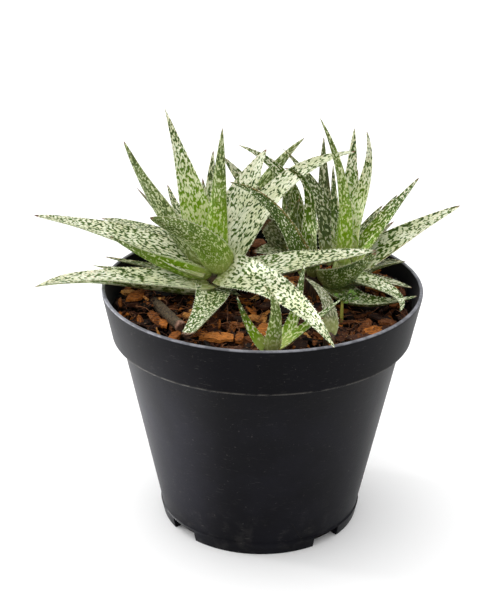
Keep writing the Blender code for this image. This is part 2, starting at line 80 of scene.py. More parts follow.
# The pot
POT_HEIGHT = 102.7
RIM_RADIUS = 65.0
RIM_ROUND = 0.7
RIM_OUTER_ROUND = RIM_ROUND * 0.8
RIM_INNER_ROUND = 0.25
BAND_BOTTOM = 83.0
BAND_BOTTOM_RADIUS = 61.3
BAND_UNDERCUT = 0.6
EDGE_ROUND = 0.5
WALL_TOP_RADIUS = 57.8
BASE_RADIUS = 41.6
WALL = 1.4
WALL_SLOPE = 0.2
BASE_THICKNESS = 1.8
FOOT_HEIGHT = 5.3
FOOT_STEP = 0.5
POT_STEPS = 240
SHARP_ANGLE = 32
NOTCH_HEIGHT = 5.0
NOTCH_WIDTH = 13.5
NOTCH_REACH = 12.0
NOTCH_BEYOND = 6
NOTCH_BELOW = 2.0
NOTCH_FIRST = 41.0
NOTCHES = 4
CRACK_X, CRACK_Z, CRACK_SLANT = 14.6, 11.0, 0.46

# The potting mix: its level, how much higher it is at the back left, the fine bed's depth below
# the level, how much of that depth is gone at the wall, and the heights of the bed's side
MIX_LEVEL = 92.4
MIX_RISE = 1.6
BED_DEPTH = 3.2
BED_EDGE = 0.9
BED_HEIGHTS = (20, 40, 60, BAND_BOTTOM, MIX_LEVEL - 4)
BED_RINGS = 56
BED_STEPS = 180
GAP = 0.3
LUMP_HEIGHT = 0.7

# What makes the bed crumbly: noises, each with its scale for a millimetre, the level that it is
# taken at, its roughness, its octaves and its height
Crumble = namedtuple("Crumble", "scale level roughness octaves height")
BED_CRUMBLES = [Crumble(0.22, 0, 0.7, 4, 1.3), Crumble(0.9, 40, 0.8, 3, 0.5)]

# Places where the mix is heaped, by the wall and over the buried end of the stub
Heap = namedtuple("Heap", "x y reach height")
HEAPS = [Heap(2, 56, 22, 4.5), Heap(58, 18, 30, 6.0), Heap(-60, -8, 24, 1.8),
         Heap(-45, -2, 11, 4.2)]

# A kind of bark: how many pieces, how far apart, their length, their width as a share of it, their
# thickness, how far they tilt in radians, how high they lie over the mix's level, how uneven they
# are, how much narrower their ends are, how pale they get, up to 1, and the points along each of
# a piece's sides.
Bark = namedtuple("Bark", "name count spacing length width thickness tilt height uneven taper tint "
                          "points")
CRUMBS = Bark("bark_crumbs", 1500, 1.3, (1.2, 3.2), (0.4, 0.9), (0.6, 1.3), 0.5, (-2.4, -0.3),
              0.45, 0.2, 0.8, (2, 2, 2))
FLAKES = Bark("bark_chips", 210, 4.6, (4.5, 11), (0.4, 0.75), (0.8, 1.7), 0.35, (-1.6, 0.3),
              1.0, 0.35, 1.1, (6, 4, 3))
SHARDS = Bark("bark_shards", 230, 4.2, (4, 10), (0.16, 0.32), (0.8, 1.5), 0.55, (-1.2, 0.9),
              0.7, 0.7, 1.2, (7, 3, 3))
BARK_SPREAD = 60.5
BARK_TINTS = (1.3, 1.9)
SCATTER_TRIES = 60
MIX_SEED = 11
# What makes a piece of bark uneven: noises, each with its scale for a metre and its share
BARK_BUMPS = ((170.0, 1.0), (520.0, 0.45))

# Coir fibres: how many, how far apart, how far from the pot's middle they start and may go, the
# points of each and the step between them, how they bend, lie above the mix and climb
FIBRES = 420
FIBRE_SPACING = 1.5
FIBRE_SPREAD, FIBRE_LIMIT = 58.0, 59.5
FIBRE_POINTS = (6, 12)
FIBRE_STEP = 1.1
FIBRE_BEND = 0.35
FIBRE_HEIGHT = (0.2, 1.4)
FIBRE_CLIMB = (-0.1, 0.22)
FIBRE_RADIUS = (0.10, 0.22)

ROOT_THREAD = [(-15.1, 0.1, 98.5), (-14.6, -4.5, 98.0), (-13.9, -10.4, 96.0),
               (-13.7, -15.5, 94.9), (-13.9, -19.6, 94.0), (-11.6, -22.7, 93.4)]
ROOT_THREAD_RADIUS = 0.22

# Chips that the picture shows one by one: place, length, width, turn in degrees and tint, from
# dark brown at 0 to tan at 1
Landmark = namedtuple("Landmark", "x y length width turn tint")
LANDMARKS = [
    Landmark(47.5, 12.0, 9, 5, -20, 0.85), Landmark(46.0, 34.0, 9, 3, -40, 0.5),
    Landmark(-2.8, 55.5, 9, 5, 20, 0.5), Landmark(-17.8, -33.0, 13, 7, 0, 0.8),
    Landmark(29.5, -39.4, 8, 4, 20, 0.9), Landmark(-51.3, -2.6, 8, 5, 60, 0.75),
    Landmark(-54.5, 7.0, 8, 4, 40, 0.9), Landmark(-39.1, -21.2, 9, 3, 100, 0.7),
    Landmark(-34.1, -31.1, 7, 3, 60, 0.6), Landmark(0.5, -24.4, 8, 5, 70, 0.8),
    Landmark(-9.0, -30.6, 7, 3, 80, 0.6), Landmark(38.5, -30.6, 9, 5, 40, 0.3),
    Landmark(49.9, -16.3, 7, 4, -30, 0.5), Landmark(-47.0, 30.6, 10, 5, 50, 1.0),
    Landmark(-40.0, 37.0, 9, 5, 30, 0.8),
]
LANDMARK_THICKNESS = 1.6
LANDMARK_RISE = 1.0
LANDMARK_TILT = 0.12

# The dead stub and the seedling. A leaflet: its place beside the stem, its height and its size.
STUB_ENDS = ((-44.0, -2.5, 95.0), (-31.5, -27.5, 95.0))
STUB_RADIUS = 2.4
STUB_RINGS, STUB_SIDES = 36, 28
STUB_RIBS = 9
STUB_RAGGED = (-1.4, 0.9)
STUB_HOLLOW = 1.2
STUB_SEED = 5
SEEDLING_PLACE = (32, -10)
SEEDLING_TOP = 99
LEAFLETS = [(-2.4, -1.2, 102.2, 2.3), (3.1, -2.3, 104.2, 2.6), (5.3, -3.2, 101.6, 2.4),
            (1.2, -5.2, 100.8, 2.0), (0.4, -1.0, 103.6, 1.9), (4.4, -0.6, 102.6, 2.0)]
LEAFLET_STEPS = 30
LEAFLET_HALF_THICKNESS = 0.12
STALK_RADIUS = 0.22
STALK_SIDES = 6

# The teeth. They stand on a share of the leaf's length, and are full where it is wide enough.
TOOTH_PITCH = 1.7
TOOTH_HEIGHT = 0.5
TOOTH_RADIUS = 0.32
TOOTH_TIP = 0.04
TOOTH_SIDES = 6
TOOTH_LEAN = 0.45
TOOTHED_WIDTH = 3.0
TEETH_FROM, TEETH_TO = 0.1, 0.95
FULL_TOOTH_HALF_WIDTH = 3.2
TEETH_SEED = 3

# The leaves. The widest place is a share of the length. The channel, the depth, the hollow of a
# broken tip and the margin's wave are shares of the width, and the powers round the back.
WIDEST = 0.15
ROOT_NARROWING = 0.2
CHANNEL = 0.11
DEPTH = 0.34
BACK_POWERS = (2.2, 0.765)
TIP_HOLLOW = 0.15
WAVE = 0.012
WAVE_LENGTH = 4.5
RING_SPACING = 1.0
FEWEST_RINGS = 16
FACE_POINTS = 11
BACK_POINTS = 13
SEEDS_PER_PLANT = 100
# How far off the marks of the back, and of another leaf, are taken
BACK_MARKS = 30
LEAF_MARKS = 400

# The crowns at the stems
CROWN_RINGS, CROWN_SIDES = 9, 40
CROWN_RIBS = 7
CROWN_RIB_DEPTH = 0.12

# How a leaf is marked: the share of its face that is cream, how strongly its base is painted a
# brighter green as painted light shining through the leaf, how faded it is, how many millimetres
# of its tip are dry, which margin is dry, from -1 to 1, and how coarse its blotches are.
Look = namedtuple("Look", "cream bright dull tip edge coarse", defaults=(0, 1.5, 0, 1))
# A leaf: its name, the height of its root on the stem, the points that its middle line passes
# through up to its tip, its greatest width, its look, the way that its upper face looks, how much
# of that width is left at a broken tip, the place of its root where that isn't beside the stem's
# middle, and how it narrows, from 1 for straight edges to less for bulging ones.
Leaf = namedtuple("Leaf", "name seat path width look face blunt root taper",
                  defaults=(None, 0.0, None, 0.75))
# A head: where its stem stands, the stem's radius, the height of the stem's top, and its leaves.
Head = namedtuple("Head", "x y radius top leaves")

LEFT = Head(-20, 17, 6.5, 108, [
    Leaf("long_left", 104, [(-57, 20, 116), (-96, 29, 120.5)], 16.5, Look(0.62, 0.05, tip=2.5),
         (0.1, -0.3, 0.95), root=(-22, 11, 104.5)),
    Leaf("behind_long_left", 104, [(-47.7, 33, 113.5), (-69.6, 45, 113.5)], 14,
         Look(0.5, 0, 0.1, 2)),
    Leaf("under_long_left", 101, [(-46, 13, 110), (-63, 16, 116.5)], 16,
         Look(0.2, 0.8, coarse=0.8), (0.1, 0.5, 0.85)),
    Leaf("low_left", 98, [(-56, -3, 107), (-76, -11, 109), (-90, -18, 107.5)], 19,
         Look(0.66, 0, coarse=1.1), (0, -0.1, 1), root=(-22, 10, 100.3)),
    Leaf("behind_low_left", 99, [(-47, 9, 103.5), (-70, 8, 106.8)], 11, Look(0.35, 0.4, 0.1)),
    Leaf("back_low_left", 99, [(-46, 20, 102), (-66, 21, 105.3)], 8, Look(0.3, 0.2, 0.3, 2)),
    Leaf("front_upright", 105, [(-21, 6, 115.5), (-28, 1.5, 123), (-44.5, -8, 133.5)], 15,
         Look(0.32, 0.55, 0.05, coarse=0.55), (0.1, 1, 0.1), root=(-18.5, 12, 105), taper=0.62),
    Leaf("left_upright", 105.5, [(-42, 18.5, 129.5), (-57, 25, 154.5)], 14,
         Look(0.44, 0.1, 0.1, coarse=0.72), (0.6, 0.8, 0.2)),
    Leaf("dry_left", 105, [(-41, 27, 121), (-53.3, 36, 131)], 7, Look(0.35, 0, 0.75, 4)),
    Leaf("small_back_left", 105.5, [(-32, 30, 116), (-40.6, 44, 129.6)], 9, Look(0.5, 0.1, 0.1)),
    Leaf("small_back", 105.5, [(-23.5, 30, 122), (-25.4, 40, 134)], 7, Look(0.4, 0, 0.5, 2.5)),
    Leaf("tallest", 105.5, [(-30.5, 20, 138.5), (-40.5, 30, 167.5)], 18, Look(0.6, 1, tip=0.8),
         (0.35, -0.85, 0.4), taper=1.1),
    Leaf("heart", 105.5, [(-17.5, 8, 144), (-16.3, 6, 166)], 10, Look(0.44, 0.9, tip=1.2),
         (0.1, 0.9, 0.3)),
    Leaf("behind_heart", 105.5, [(-21.5, 25, 131), (-20.6, 32, 148.7)], 9, Look(0.5, 0.5, 0.1),
         (0, -0.9, 0.3)),
    Leaf("long_right", 104, [(-5, 19, 120.5), (4, 24.5, 136.5), (20, 27, 142.8), (38, 28, 150.3)],
         14.5, Look(0.84, 0), (-0.3, -0.65, 0.65)),
    Leaf("broad_back", 105, [(-8.3, 30, 132), (1.5, 43, 146)], 19, Look(0.84, 0),
         (-0.2, -0.8, 0.55)),
    Leaf("level_right", 99, [(15, 0, 113), (45.5, -4, 119)], 18,
         Look(0.66, 0.1, tip=1.8, coarse=1.1), (0, -0.35, 0.93)),
    Leaf("over_the_rim", 103, [(-1, -15, 110.5), (13, -38, 110.5), (26, -64, 104)], 15,
         Look(0.70, 0, tip=0.8, coarse=1.2), (-0.45, -0.6, 0.65), root=(-18.5, 11, 104)),
    Leaf("broken_front", 98, [(-22, -18, 100.3), (-29, -40, 98)], 15, Look(0.44, 0.1, tip=2.2),
         None, 0.2),
    Leaf("short_front", 97, [(-14, 3, 98.5), (-8, -4, 98.5)], 8, Look(0.45, 0, 0.4, 2)),
])
RIGHT = Head(34, 20, 6.0, 108, [
    Leaf("heart", 105.5, [(32, 13, 141), (29, 12, 152.5), (21.8, 12, 169)], 7,
         Look(0.45, 0.8, tip=1, coarse=0.9), (0.3, 0.9, 0.3)),
    Leaf("dark_back", 103, [(26, 35, 130), (25.3, 39, 153)], 9, Look(0.35, 0.1, 0.3),
         root=(29.5, 23, 103)),
    Leaf("small_back", 105, [(29.7, 28, 131), (29.1, 32, 143)], 6, Look(0.4, 0.3, 0.1, 1)),
    Leaf("back_upright", 105, [(36.5, 28, 139), (37.5, 33, 158.5)], 10,
         Look(0.52, 0.8, tip=1.2, coarse=0.9), (0, -0.9, 0.3)),
    Leaf("dry_back", 105, [(38.5, 30, 128.8), (39.7, 34, 140.5)], 6, Look(0.35, 0, 0.7, 3)),
    Leaf("bowed_upright", 105, [(37.5, 22, 122), (43, 23, 147), (41.7, 24, 160)], 9.5,
         Look(0.66, 0.9, tip=1, coarse=0.85), (-0.5, -0.8, 0.3)),
    Leaf("rising_right", 105, [(49.5, 17, 124.5), (63.5, 18, 142.4)], 10.5,
         Look(0.34, 0.6, coarse=0.9), (-0.6, -0.5, 0.6)),
    Leaf("behind_rising", 104, [(46.5, 25, 120), (56.2, 28, 131.5)], 9,
         Look(0.25, 0.6, tip=1.2)),
    Leaf("small_right", 103, [(43.3, 29, 117), (50.8, 33, 125)], 8, Look(0.4, 0.4, 0.2, 1.2)),
    Leaf("dry_right", 102, [(47, 28, 112), (56.2, 36, 116.8)], 8, Look(0.35, 0, 0.8, 3)),
    Leaf("long_right", 102, [(60.5, 15, 120.5), (81.3, 20, 129.7)], 13.5,
         Look(0.70, 0.1, edge=0.8), (-0.3, -0.6, 0.75)),
    Leaf("low_right", 99, [(52, 14, 107), (59.3, 12, 107.8)], 12, Look(0.5, 0, 0.3, edge=0.6)),
    Leaf("bulging_front", 100, [(35, 2, 107), (46, 2, 115.8)], 16, Look(0.28, 0.1, coarse=0.55),
         (0.1, 0.8, 0.6), root=(28, 14, 101)),
    Leaf("lying_right", 97, [(44, -8, 99), (62, -10.3, 102)], 13, Look(0.4, 0.1, tip=1.2),
         (0, -0.1, 1), root=(30, 14, 98)),
    Leaf("claw", 101, [(43.5, 0, 104.5), (54.3, -16, 103.3), (53.3, -26, 102)], 10,
         Look(0.5, 0.1, tip=0.5, coarse=0.8), (0.2, -0.5, 0.85)),
    Leaf("inside_rim", 98, [(50.5, 6, 102), (60.8, -1, 101.5)], 11.5,
         Look(0.5, 0, 0.4, edge=0.8)),
    Leaf("dull_left", 102, [(23, 30, 130.5), (7.7, 42, 147.2)], 12,
         Look(0.3, 0.1, 0.2, coarse=0.9), (-0.3, -0.8, 0.5), taper=1.1),
])
MIDDLE = Head(21, 16, 4.5, 104, [
    Leaf("dark_left", 101, [(7.4, 12, 126.5), (-3.5, 9, 138.2), (-14, 8, 143.2)], 9.5,
         Look(0.1, 0.1, edge=0.9, coarse=0.64), (0.2, -0.7, 0.7)),
    Leaf("dark_upright", 102, [(19.5, 20, 127), (15.6, 17, 142), (8.3, 14, 147)], 9,
         Look(0.25, 0.4, coarse=0.8), (-0.6, -0.7, 0.3)),
    Leaf("small_back", 102, [(12, 24, 114), (10, 34, 124)], 9, Look(0.4, 0.3, 0.1, 1)),
    Leaf("small_front", 101, [(21, 10, 111), (20, 11, 120)], 6,
         Look(0.2, 0.2, tip=1, coarse=0.6)),
])
BACK_LEFT = Head(-9, 48.5, 4.5, 103, [
    Leaf("crossing", 101, [(1.5, 56, 126.5), (18.2, 58, 146.7)], 10, Look(0.5, 0.2, tip=1.2),
         (0.4, 0.7, 0.5)),
    Leaf("narrow", 101, [(-3.5, 57, 119), (-0.5, 60, 136)], 8, Look(0.4, 0.2, 0.2)),
    Leaf("low_back", 100, [(-22, 54, 108), (-33, 53, 112)], 9, Look(0.55, 0.1, 0.1, 1.2)),
])
BACK_RIGHT = Head(16, 45, 4.5, 104, [
    Leaf("bowed_left", 102, [(9.5, 46, 132), (-10.5, 47, 146.5)], 8.5, Look(0.45, 0.3, tip=1.2),
         (-0.2, -0.7, 0.6)),
    Leaf("pale_left", 101, [(-4.5, 45.5, 126), (-17, 48, 141)], 13, Look(0.62, 0.1, 0.2, 1.2),
         (-0.2, -0.7, 0.6)),
    Leaf("small_left", 101, [(11.5, 43, 119), (13.5, 44, 130)], 9, Look(0.4, 0.5, 0.1, 1.2)),
    Leaf("small_middle", 101, [(10.3, 42, 117.5), (9.6, 42.5, 131)], 9, Look(0.35, 0.8, 0.1, 1)),
    Leaf("small_front", 101, [(13, 39, 115), (15.8, 38, 126)], 8, Look(0.25, 0.3, 0.1, 1)),
    Leaf("low_back", 100, [(26, 52, 111), (36, 54, 117)], 9, Look(0.55, 0.1, 0.1, 1.2)),
    Leaf("withered", 100, [(6, 41, 109), (-0.5, 40, 115)], 15, Look(0.45, 0, 0.55, 4),
         (-0.2, -0.8, 0.5), taper=0.5),
    Leaf("lying_left", 98, [(5, 39, 102.5), (-4, 37.5, 101.5)], 12, Look(0.45, 0, 0.4, 2),
         (0, -0.5, 0.85)),
])
PUP = Head(3, -45, 3.6, 95.5, [
    Leaf("narrow", 94.5, [(-5.5, -45.5, 105), (-9.8, -46, 116.6)], 4.6,
         Look(0.14, 1, tip=0.5, coarse=0.8), (0.3, -0.9, 0.3)),
    Leaf("upright", 94.5, [(4.6, -48, 107), (4.1, -48.5, 115.3), (-0.1, -49, 122.4)], 6.5,
         Look(0.38, 0.4, 0.1, 0.8, coarse=0.8), (0.1, 0.9, 0.3)),
    Leaf("leaning_back", 94.5, [(11, -34, 100), (14.5, -24, 111), (16.5, -15, 118.5)], 6,
         Look(0.4, 0.8, tip=0.6, coarse=0.8)),
    Leaf("leaning_right", 94.5, [(18, -38, 102.5), (31.5, -31, 110.6)], 6.5,
         Look(0.34, 0.8, tip=0.6, coarse=0.8)),
])
DULL_PUP = Head(26, -32, 2.8, 95.5, [
    Leaf("dull", 94.5, [(25.5, -24, 104), (16.3, -14, 111.2)], 7,
         Look(0.45, 0, 0.6, 1, coarse=0.6)),
])

# A plant: the CAD node, its material slot and its heads
PLANTS = [
    ("aloe_left", "aloe_leaf", [LEFT]),
    ("aloe_right", "aloe_leaf", [RIGHT, MIDDLE]),
    ("aloe_back_left", "aloe_leaf", [BACK_LEFT]),
    ("aloe_back_right", "aloe_leaf", [BACK_RIGHT]),
    ("pup_front", "aloe_leaf", [PUP]),
    ("pup_dull", "dull_leaf", [DULL_PUP]),
]


def colour(red, green, blue):
    """A screen colour from 0 to 255 as the linear colour that a shader takes."""
    parts = [value / 255 for value in (red, green, blue)]
    return (*[p / 12.92 if p <= 0.04045 else ((p + 0.055) / 1.055) ** 2.4 for p in parts], 1.0)


class Wire:
    """A node's output, with the arithmetic that the finishes use."""

    def __init__(self, tree, socket):
        self.tree = tree
        self.socket = socket

    def math(self, operation, *values):
        return self.tree.node("ShaderNodeMath", dict(enumerate(values)), operation=operation)

    def __add__(self, other):
        return self.math("ADD", self, other)

    __radd__ = __add__

    def __sub__(self, other):
        return self.math("SUBTRACT", self, other)

    def __rsub__(self, other):
        return self.math("SUBTRACT", other, self)

    def __mul__(self, other):
        return self.math("MULTIPLY", self, other)

    __rmul__ = __mul__

    def __truediv__(self, other):
        return self.math("DIVIDE", self, other)

    def __abs__(self):
        return self.math("ABSOLUTE", self)

    def larger(self, other):
        return self.math("MAXIMUM", self, other)

    def rises(self, low, high, least=0.0, most=1.0):
        """From least at low to most at high with soft ends, or falling where low is larger."""
        return self.tree.node("ShaderNodeMapRange", {
            "Value": self, "From Min": low, "From Max": high, "To Min": least, "To Max": most},
            interpolation_type="SMOOTHSTEP")

    def output(self, name):
        return Wire(self.tree, self.tree.find(self.socket.node.outputs, name))


class Tree:
    """A node tree, with one method that adds any node."""

    def __init__(self, tree):
        self.tree = tree

    @staticmethod
    def find(sockets, name):
        if isinstance(name, int):
            return sockets[name]
        by_identifier = [s for s in sockets if s.identifier == name]
        return (by_identifier or [s for s in sockets if s.name == name])[0]

    def node(self, kind, sockets=None, out=0, **settings):
        made = self.tree.nodes.new(kind)
        for name, value in settings.items():
            setattr(made, name, value)
        for name, value in (sockets or {}).items():
            socket = self.find(made.inputs, name)
            if isinstance(value, Wire):
                self.tree.links.new(value.socket, socket)
            else:
                socket.default_value = value
        return Wire(self, self.find(made.outputs, out))

    def vector(self, operation, *values, out=0):
        return self.node("ShaderNodeVectorMath", dict(enumerate(values)), out,
                         operation=operation)

    def noise(self, place, scale, detail=2.0, roughness=0.5, distortion=0.0, out="Fac"):
        return self.node("ShaderNodeTexNoise", {
            "Vector": place, "Scale": scale, "Detail": detail, "Roughness": roughness,
            "Distortion": distortion}, out)


class Finish(Tree):
    """A material, with its shader and the nodes that paint it."""

    def __init__(self, name):
        self.material = bpy.data.materials.new(name)
        self.material.use_nodes = True
        super().__init__(self.material.node_tree)
        self.shader = self.tree.nodes["Principled BSDF"]

    def attribute(self, name, out="Vector"):
        return self.node("ShaderNodeAttribute", out=out, attribute_name=name)

    def place(self):
        """Object coordinates in millimetres."""
        place = self.node("ShaderNodeTexCoord", out="Object")
        return self.vector("MULTIPLY", place, (1 / MM,) * 3)

    def stretched(self, place, x, y, z):
        return self.vector("MULTIPLY", place, (x, y, z))

    def split(self, vector):
        x = self.node("ShaderNodeSeparateXYZ", {0: vector}, "X")
        return x, x.output("Y"), x.output("Z")

    def mix(self, share, *colours):
        """From one colour to another, each a wire or red, green and blue up to 255."""
        first, second = (c if isinstance(c, Wire) else colour(*c) for c in colours)
        return self.node("ShaderNodeMix", {
            "Factor_Float": share, "A_Color": first, "B_Color": second}, "Result_Color",
            data_type="RGBA")

    def set(self, **values):
        """Sets the shader's sockets, named with _ for a space: numbers directly, wires by links."""
        for name, value in values.items():
            socket = self.shader.inputs[name.replace("_", " ").title().replace("Ior", "IOR")]
            if isinstance(value, Wire):
                self.tree.links.new(value.socket, socket)
            else:
                socket.default_value = value
        return self.material

    def coat(self, base_color, roughness, height, depth, strength=1.0, **values):
        """The material, with a bump of this depth in millimetres where height goes from 0 to 1."""
        bump = self.node("ShaderNodeBump", {
            "Height": height, "Distance": depth * MM, "Strength": strength}, "Normal")
        return self.set(base_color=base_color, roughness=roughness, normal=bump, **values)


def leaf_finish(name):
    """Grey-green skin under cream streaks on the face, and finer flecks on the back; near the root
    it is painted a brighter green as light shining through the leaf.
    """
    f = Finish(name)
    skin = f.attribute("skin")
    from_root, from_tip, across = f.split(f.attribute("place"))
    cream_share, bright, dull = f.split(f.attribute("look"))
    tip, edge, under = f.split(f.attribute("wear"))

    wander = f.vector("SUBTRACT", f.noise(skin, 0.8, 1.0, out="Color"), (0.5, 0.5, 0.5))
    wander = f.vector("MULTIPLY", wander, (1.3, 1.3, 0.0))
    dashes = f.noise(f.vector("ADD", skin, wander), 1.04, 0.6, 0.5)
    streaks = f.noise(f.stretched(skin, 1.0, 0.45, 1.0), 2.1, 1.0)
    patches = f.noise(skin, 0.13, 1.5).rises(0.36, 0.64)
    grain = f.noise(f.stretched(skin, 3.0, 0.3, 1.0), 1.0, 2.0)
    flecks = f.noise(f.stretched(skin, 1.0, 0.7, 1.0), 2.3, 1.0)

    rim = abs(across).rises(0.75, 1.0)
    pattern = dashes * 0.68 + streaks * 0.32
    level = 0.507 + (0.5 - cream_share) * 0.19 + rim * 0.022 + under * 0.02 - patches * 0.012
    veil = (pattern - level).rises(-0.06, 0.015)
    core = (pattern - level).rises(-0.012, 0.045)
    fleck = (flecks - level).rises(0.03, 0.14) * (under * 0.4)
    cloudy = streaks.rises(0.62, 0.40) * 0.35

    along = from_root / (from_root + from_tip)
    # Near the root the leaf is painted a brighter green: painted light shining through the leaf.
    painted_through_light = along.rises(0.85, 0.1) * bright
    green = f.mix(patches, (40, 62, 6), (64, 88, 26))
    back = f.mix(patches, (50, 70, 6), (82, 102, 34))
    green = f.mix(under, green, back)
    green = f.mix(painted_through_light, green, (120, 160, 4))
    pale = f.mix(under, (120, 144, 64), (104, 128, 42))
    pale = f.mix(painted_through_light, pale, (168, 198, 48))
    cream = f.mix(patches, (214, 216, 182), (234, 234, 212))
    cream = f.mix(under * 0.5, cream, (166, 180, 116))
    cream = f.mix(painted_through_light * 0.6, cream, (212, 222, 142))
    cream = f.mix(cloudy, cream, pale)
    painted = f.mix(veil * 0.65, green, pale)
    painted = f.mix(core.larger(fleck), painted, cream)

    faded = f.mix(grain.rises(0.4, 0.62), (84, 88, 68), (150, 142, 116))
    painted = f.mix(dull * 0.8, painted, faded)
    sheath = from_root.rises(13.0, 3.0) * along.rises(0.32, 0.12) * (0.8 - 0.4 * grain)
    painted = f.mix(sheath, painted, (170, 178, 104))
    margin = abs(across).rises(0.955, 0.985) * from_tip.rises(1.0, 5.0) * 0.4
    painted = f.mix(margin, painted, (206, 212, 172))
    dry_margin = (across * edge).rises(0.6, 0.9) * (flecks + 0.1).rises(0.5, 0.7)
    painted = f.mix(dry_margin, painted, (160, 124, 72))
    dried = (from_tip + 2.0 * dashes - 1.0 - tip).rises(0.5, -1.0)
    dry_colour = f.mix(grain.rises(0.35, 0.65), (66, 46, 38), (140, 108, 84))
    painted = f.mix(dried, painted, dry_colour)

    return f.coat(painted, 0.40 + 0.12 * core + 0.25 * dull + 0.2 * dried,
                  core * 0.5 + grain * 0.35 + flecks * 0.15, 0.10, 0.7,
                  specular_ior_level=0.22, subsurface_weight=0.06, subsurface_scale=0.002)


def tooth_finish():
    """Horny white teeth."""
    f = Finish("leaf_teeth")
    grain = f.noise(f.place(), 1.2, 2.0)
    painted = f.mix(grain.rises(0.4, 0.6), (196, 204, 164), (226, 228, 204))
    return f.coat(painted, 0.35 + 0.2 * grain, grain, 0.05)


def crown_finish():
    """Pale green sheaths with fine lengthwise lines, dry and brown towards the mix."""
    f = Finish("crown_sheath")
    place = f.place()
    height = f.split(place)[2]
    lines = f.noise(f.stretched(place, 2.2, 2.2, 0.12), 1.0, 2.0)
    patches = f.noise(place, 0.25, 2.0)
    fresh = f.mix(lines.rises(0.38, 0.62), (150, 172, 84), (206, 214, 152))
    husk = f.mix(lines.rises(0.4, 0.6), (40, 28, 18), (104, 78, 50))
    painted = f.mix((height + 6.0 * patches).rises(108.0, 103.0), fresh, husk)
    return f.coat(painted, 0.5 + 0.2 * lines, lines, 0.15)


def pot_finish():
    """Black moulded plastic with dust, scuffs and a short crack near the foot. The pale lines along
    the rim's top edge and the band's lower edge are partly wear and dust and partly painted
    highlight.
    """
    f = Finish("pot_plastic")
    place = f.place()
    x, y, z = f.split(place)
    smudges = f.noise(place, 0.045, 3.0, 0.6)
    cloud = f.noise(place, 0.2, 4.0, 0.65)
    grain = f.noise(place, 2.4, 2.0, 0.6)
    specks = f.noise(place, 0.95, 1.0).rises(0.735, 0.775)
    fine_specks = f.noise(f.stretched(place, 1.0, 1.0, 0.8), 1.9, 1.0).rises(0.72, 0.77)
    scuffs = f.noise(f.stretched(place, 0.3, 0.3, 3.5), 1.0, 2.0).rises(0.64, 0.72)
    body = z.rises(BAND_BOTTOM, BAND_BOTTOM - 25.0)
    low = z.rises(30.0, 2.0)
    dusty = (specks * 0.12 + fine_specks * 0.07 + scuffs * 0.07) * cloud.rises(0.4, 0.62)
    dust = dusty + low * cloud.rises(0.48, 0.72) * 0.035
    # A pale line along the band's lower edge: partly dust, partly a painted highlight.
    band_edge_dust_and_highlight = abs(z - BAND_BOTTOM).rises(0.75, 0.2) * cloud.rises(0.32, 0.6)
    # The rim's top edge is made pale and bluish, partly as wear and partly as a painted highlight.
    lip = z.rises(POT_HEIGHT - 0.7, POT_HEIGHT - 0.15)
    rim_wear_and_highlight = lip * (0.3 + 0.25 * cloud.rises(0.4, 0.6))
    crack_line = abs((x - CRACK_X) + (z - CRACK_Z) * CRACK_SLANT + (grain - 0.5) * 1.2)
    crack = crack_line.rises(0.35, 0.1) * abs(z - 9.5).rises(6.5, 5.0) * y.rises(0.0, -20.0)
    clean = f.mix(smudges.rises(0.35, 0.7), (0, 0, 3), (3, 3, 8))
    worn = f.mix(smudges.rises(0.35, 0.7), (3, 3, 8), (11, 11, 18))
    painted = f.mix(dust + band_edge_dust_and_highlight * 0.14, f.mix(body, clean, worn), (150, 146, 138))
    painted = f.mix(rim_wear_and_highlight, painted, (168, 169, 177))
    painted = f.mix(crack * 0.8, painted, (8, 8, 9))
    return f.coat(painted, 0.40 + 0.12 * smudges + 0.3 * dust + 0.08 * grain,
                  grain * 0.3 + cloud * 0.5 - crack * 1.5, 0.14, 0.5,
                  specular_ior_level=0.08, sheen_weight=0.10, sheen_roughness=0.25)


def bed_finish():
    """The fine part of the mix: dark crumbs and coir dust, darkened further as painted shade deep in
    the mix, with black patches that are painted shade in the gaps.
    """
    f = Finish("bark_dust")
    place = f.place()
    lumps = f.noise(place, 0.3, 3.0, 0.6)
    crumbs = f.noise(place, 1.3, 3.0, 0.6)
    # Kept near black as painted shade; the black patches are painted shade between crumbs.
    tone = f.mix(crumbs.rises(0.46, 0.64), (5, 3, 2), (38, 19, 10))
    painted = f.mix(lumps.rises(0.58, 0.42) * 0.8, tone, (4, 3, 2))
    return f.coat(painted, 0.95, crumbs, 0.9, specular_ior_level=0.1)


def bark_finish():
    """Bark and wood chips from dark brown to orange tan, each with its grain along it."""
    f = Finish("bark_chips")
    place = f.place()
    tint = f.attribute("tint", "Fac")
    fibres = f.noise(f.stretched(place, 0.5, 2.4, 2.4), 1.0, 3.0, 0.65)
    spots = f.noise(place, 0.7, 3.0, 0.6)
    tone = f.mix(tint.rises(0.05, 0.4), (14, 8, 5), (76, 38, 16))
    tone = f.mix(tint.rises(0.4, 0.75), tone, (178, 104, 36))
    tone = f.mix(tint.rises(0.75, 1.0), tone, (226, 166, 92))
    tone = f.mix(fibres.rises(0.54, 0.40) * 0.7, tone, (12, 6, 3))
    tone = f.mix(spots.rises(0.58, 0.72) * 0.35, tone, (206, 156, 108))
    return f.coat(tone, 0.72 + 0.2 * spots, fibres * 0.7 + spots * 0.3, 0.35,
                  specular_ior_level=0.25)


def coir_finish():
    """Thin brown husk fibres."""
    f = Finish("coir_fibre")
    place = f.place()
    patches = f.noise(place, 0.3, 2.0)
    painted = f.mix(patches.rises(0.35, 0.65), (44, 22, 11), (146, 92, 52))
    return f.coat(painted, 0.8, f.noise(place, 3.0), 0.1)


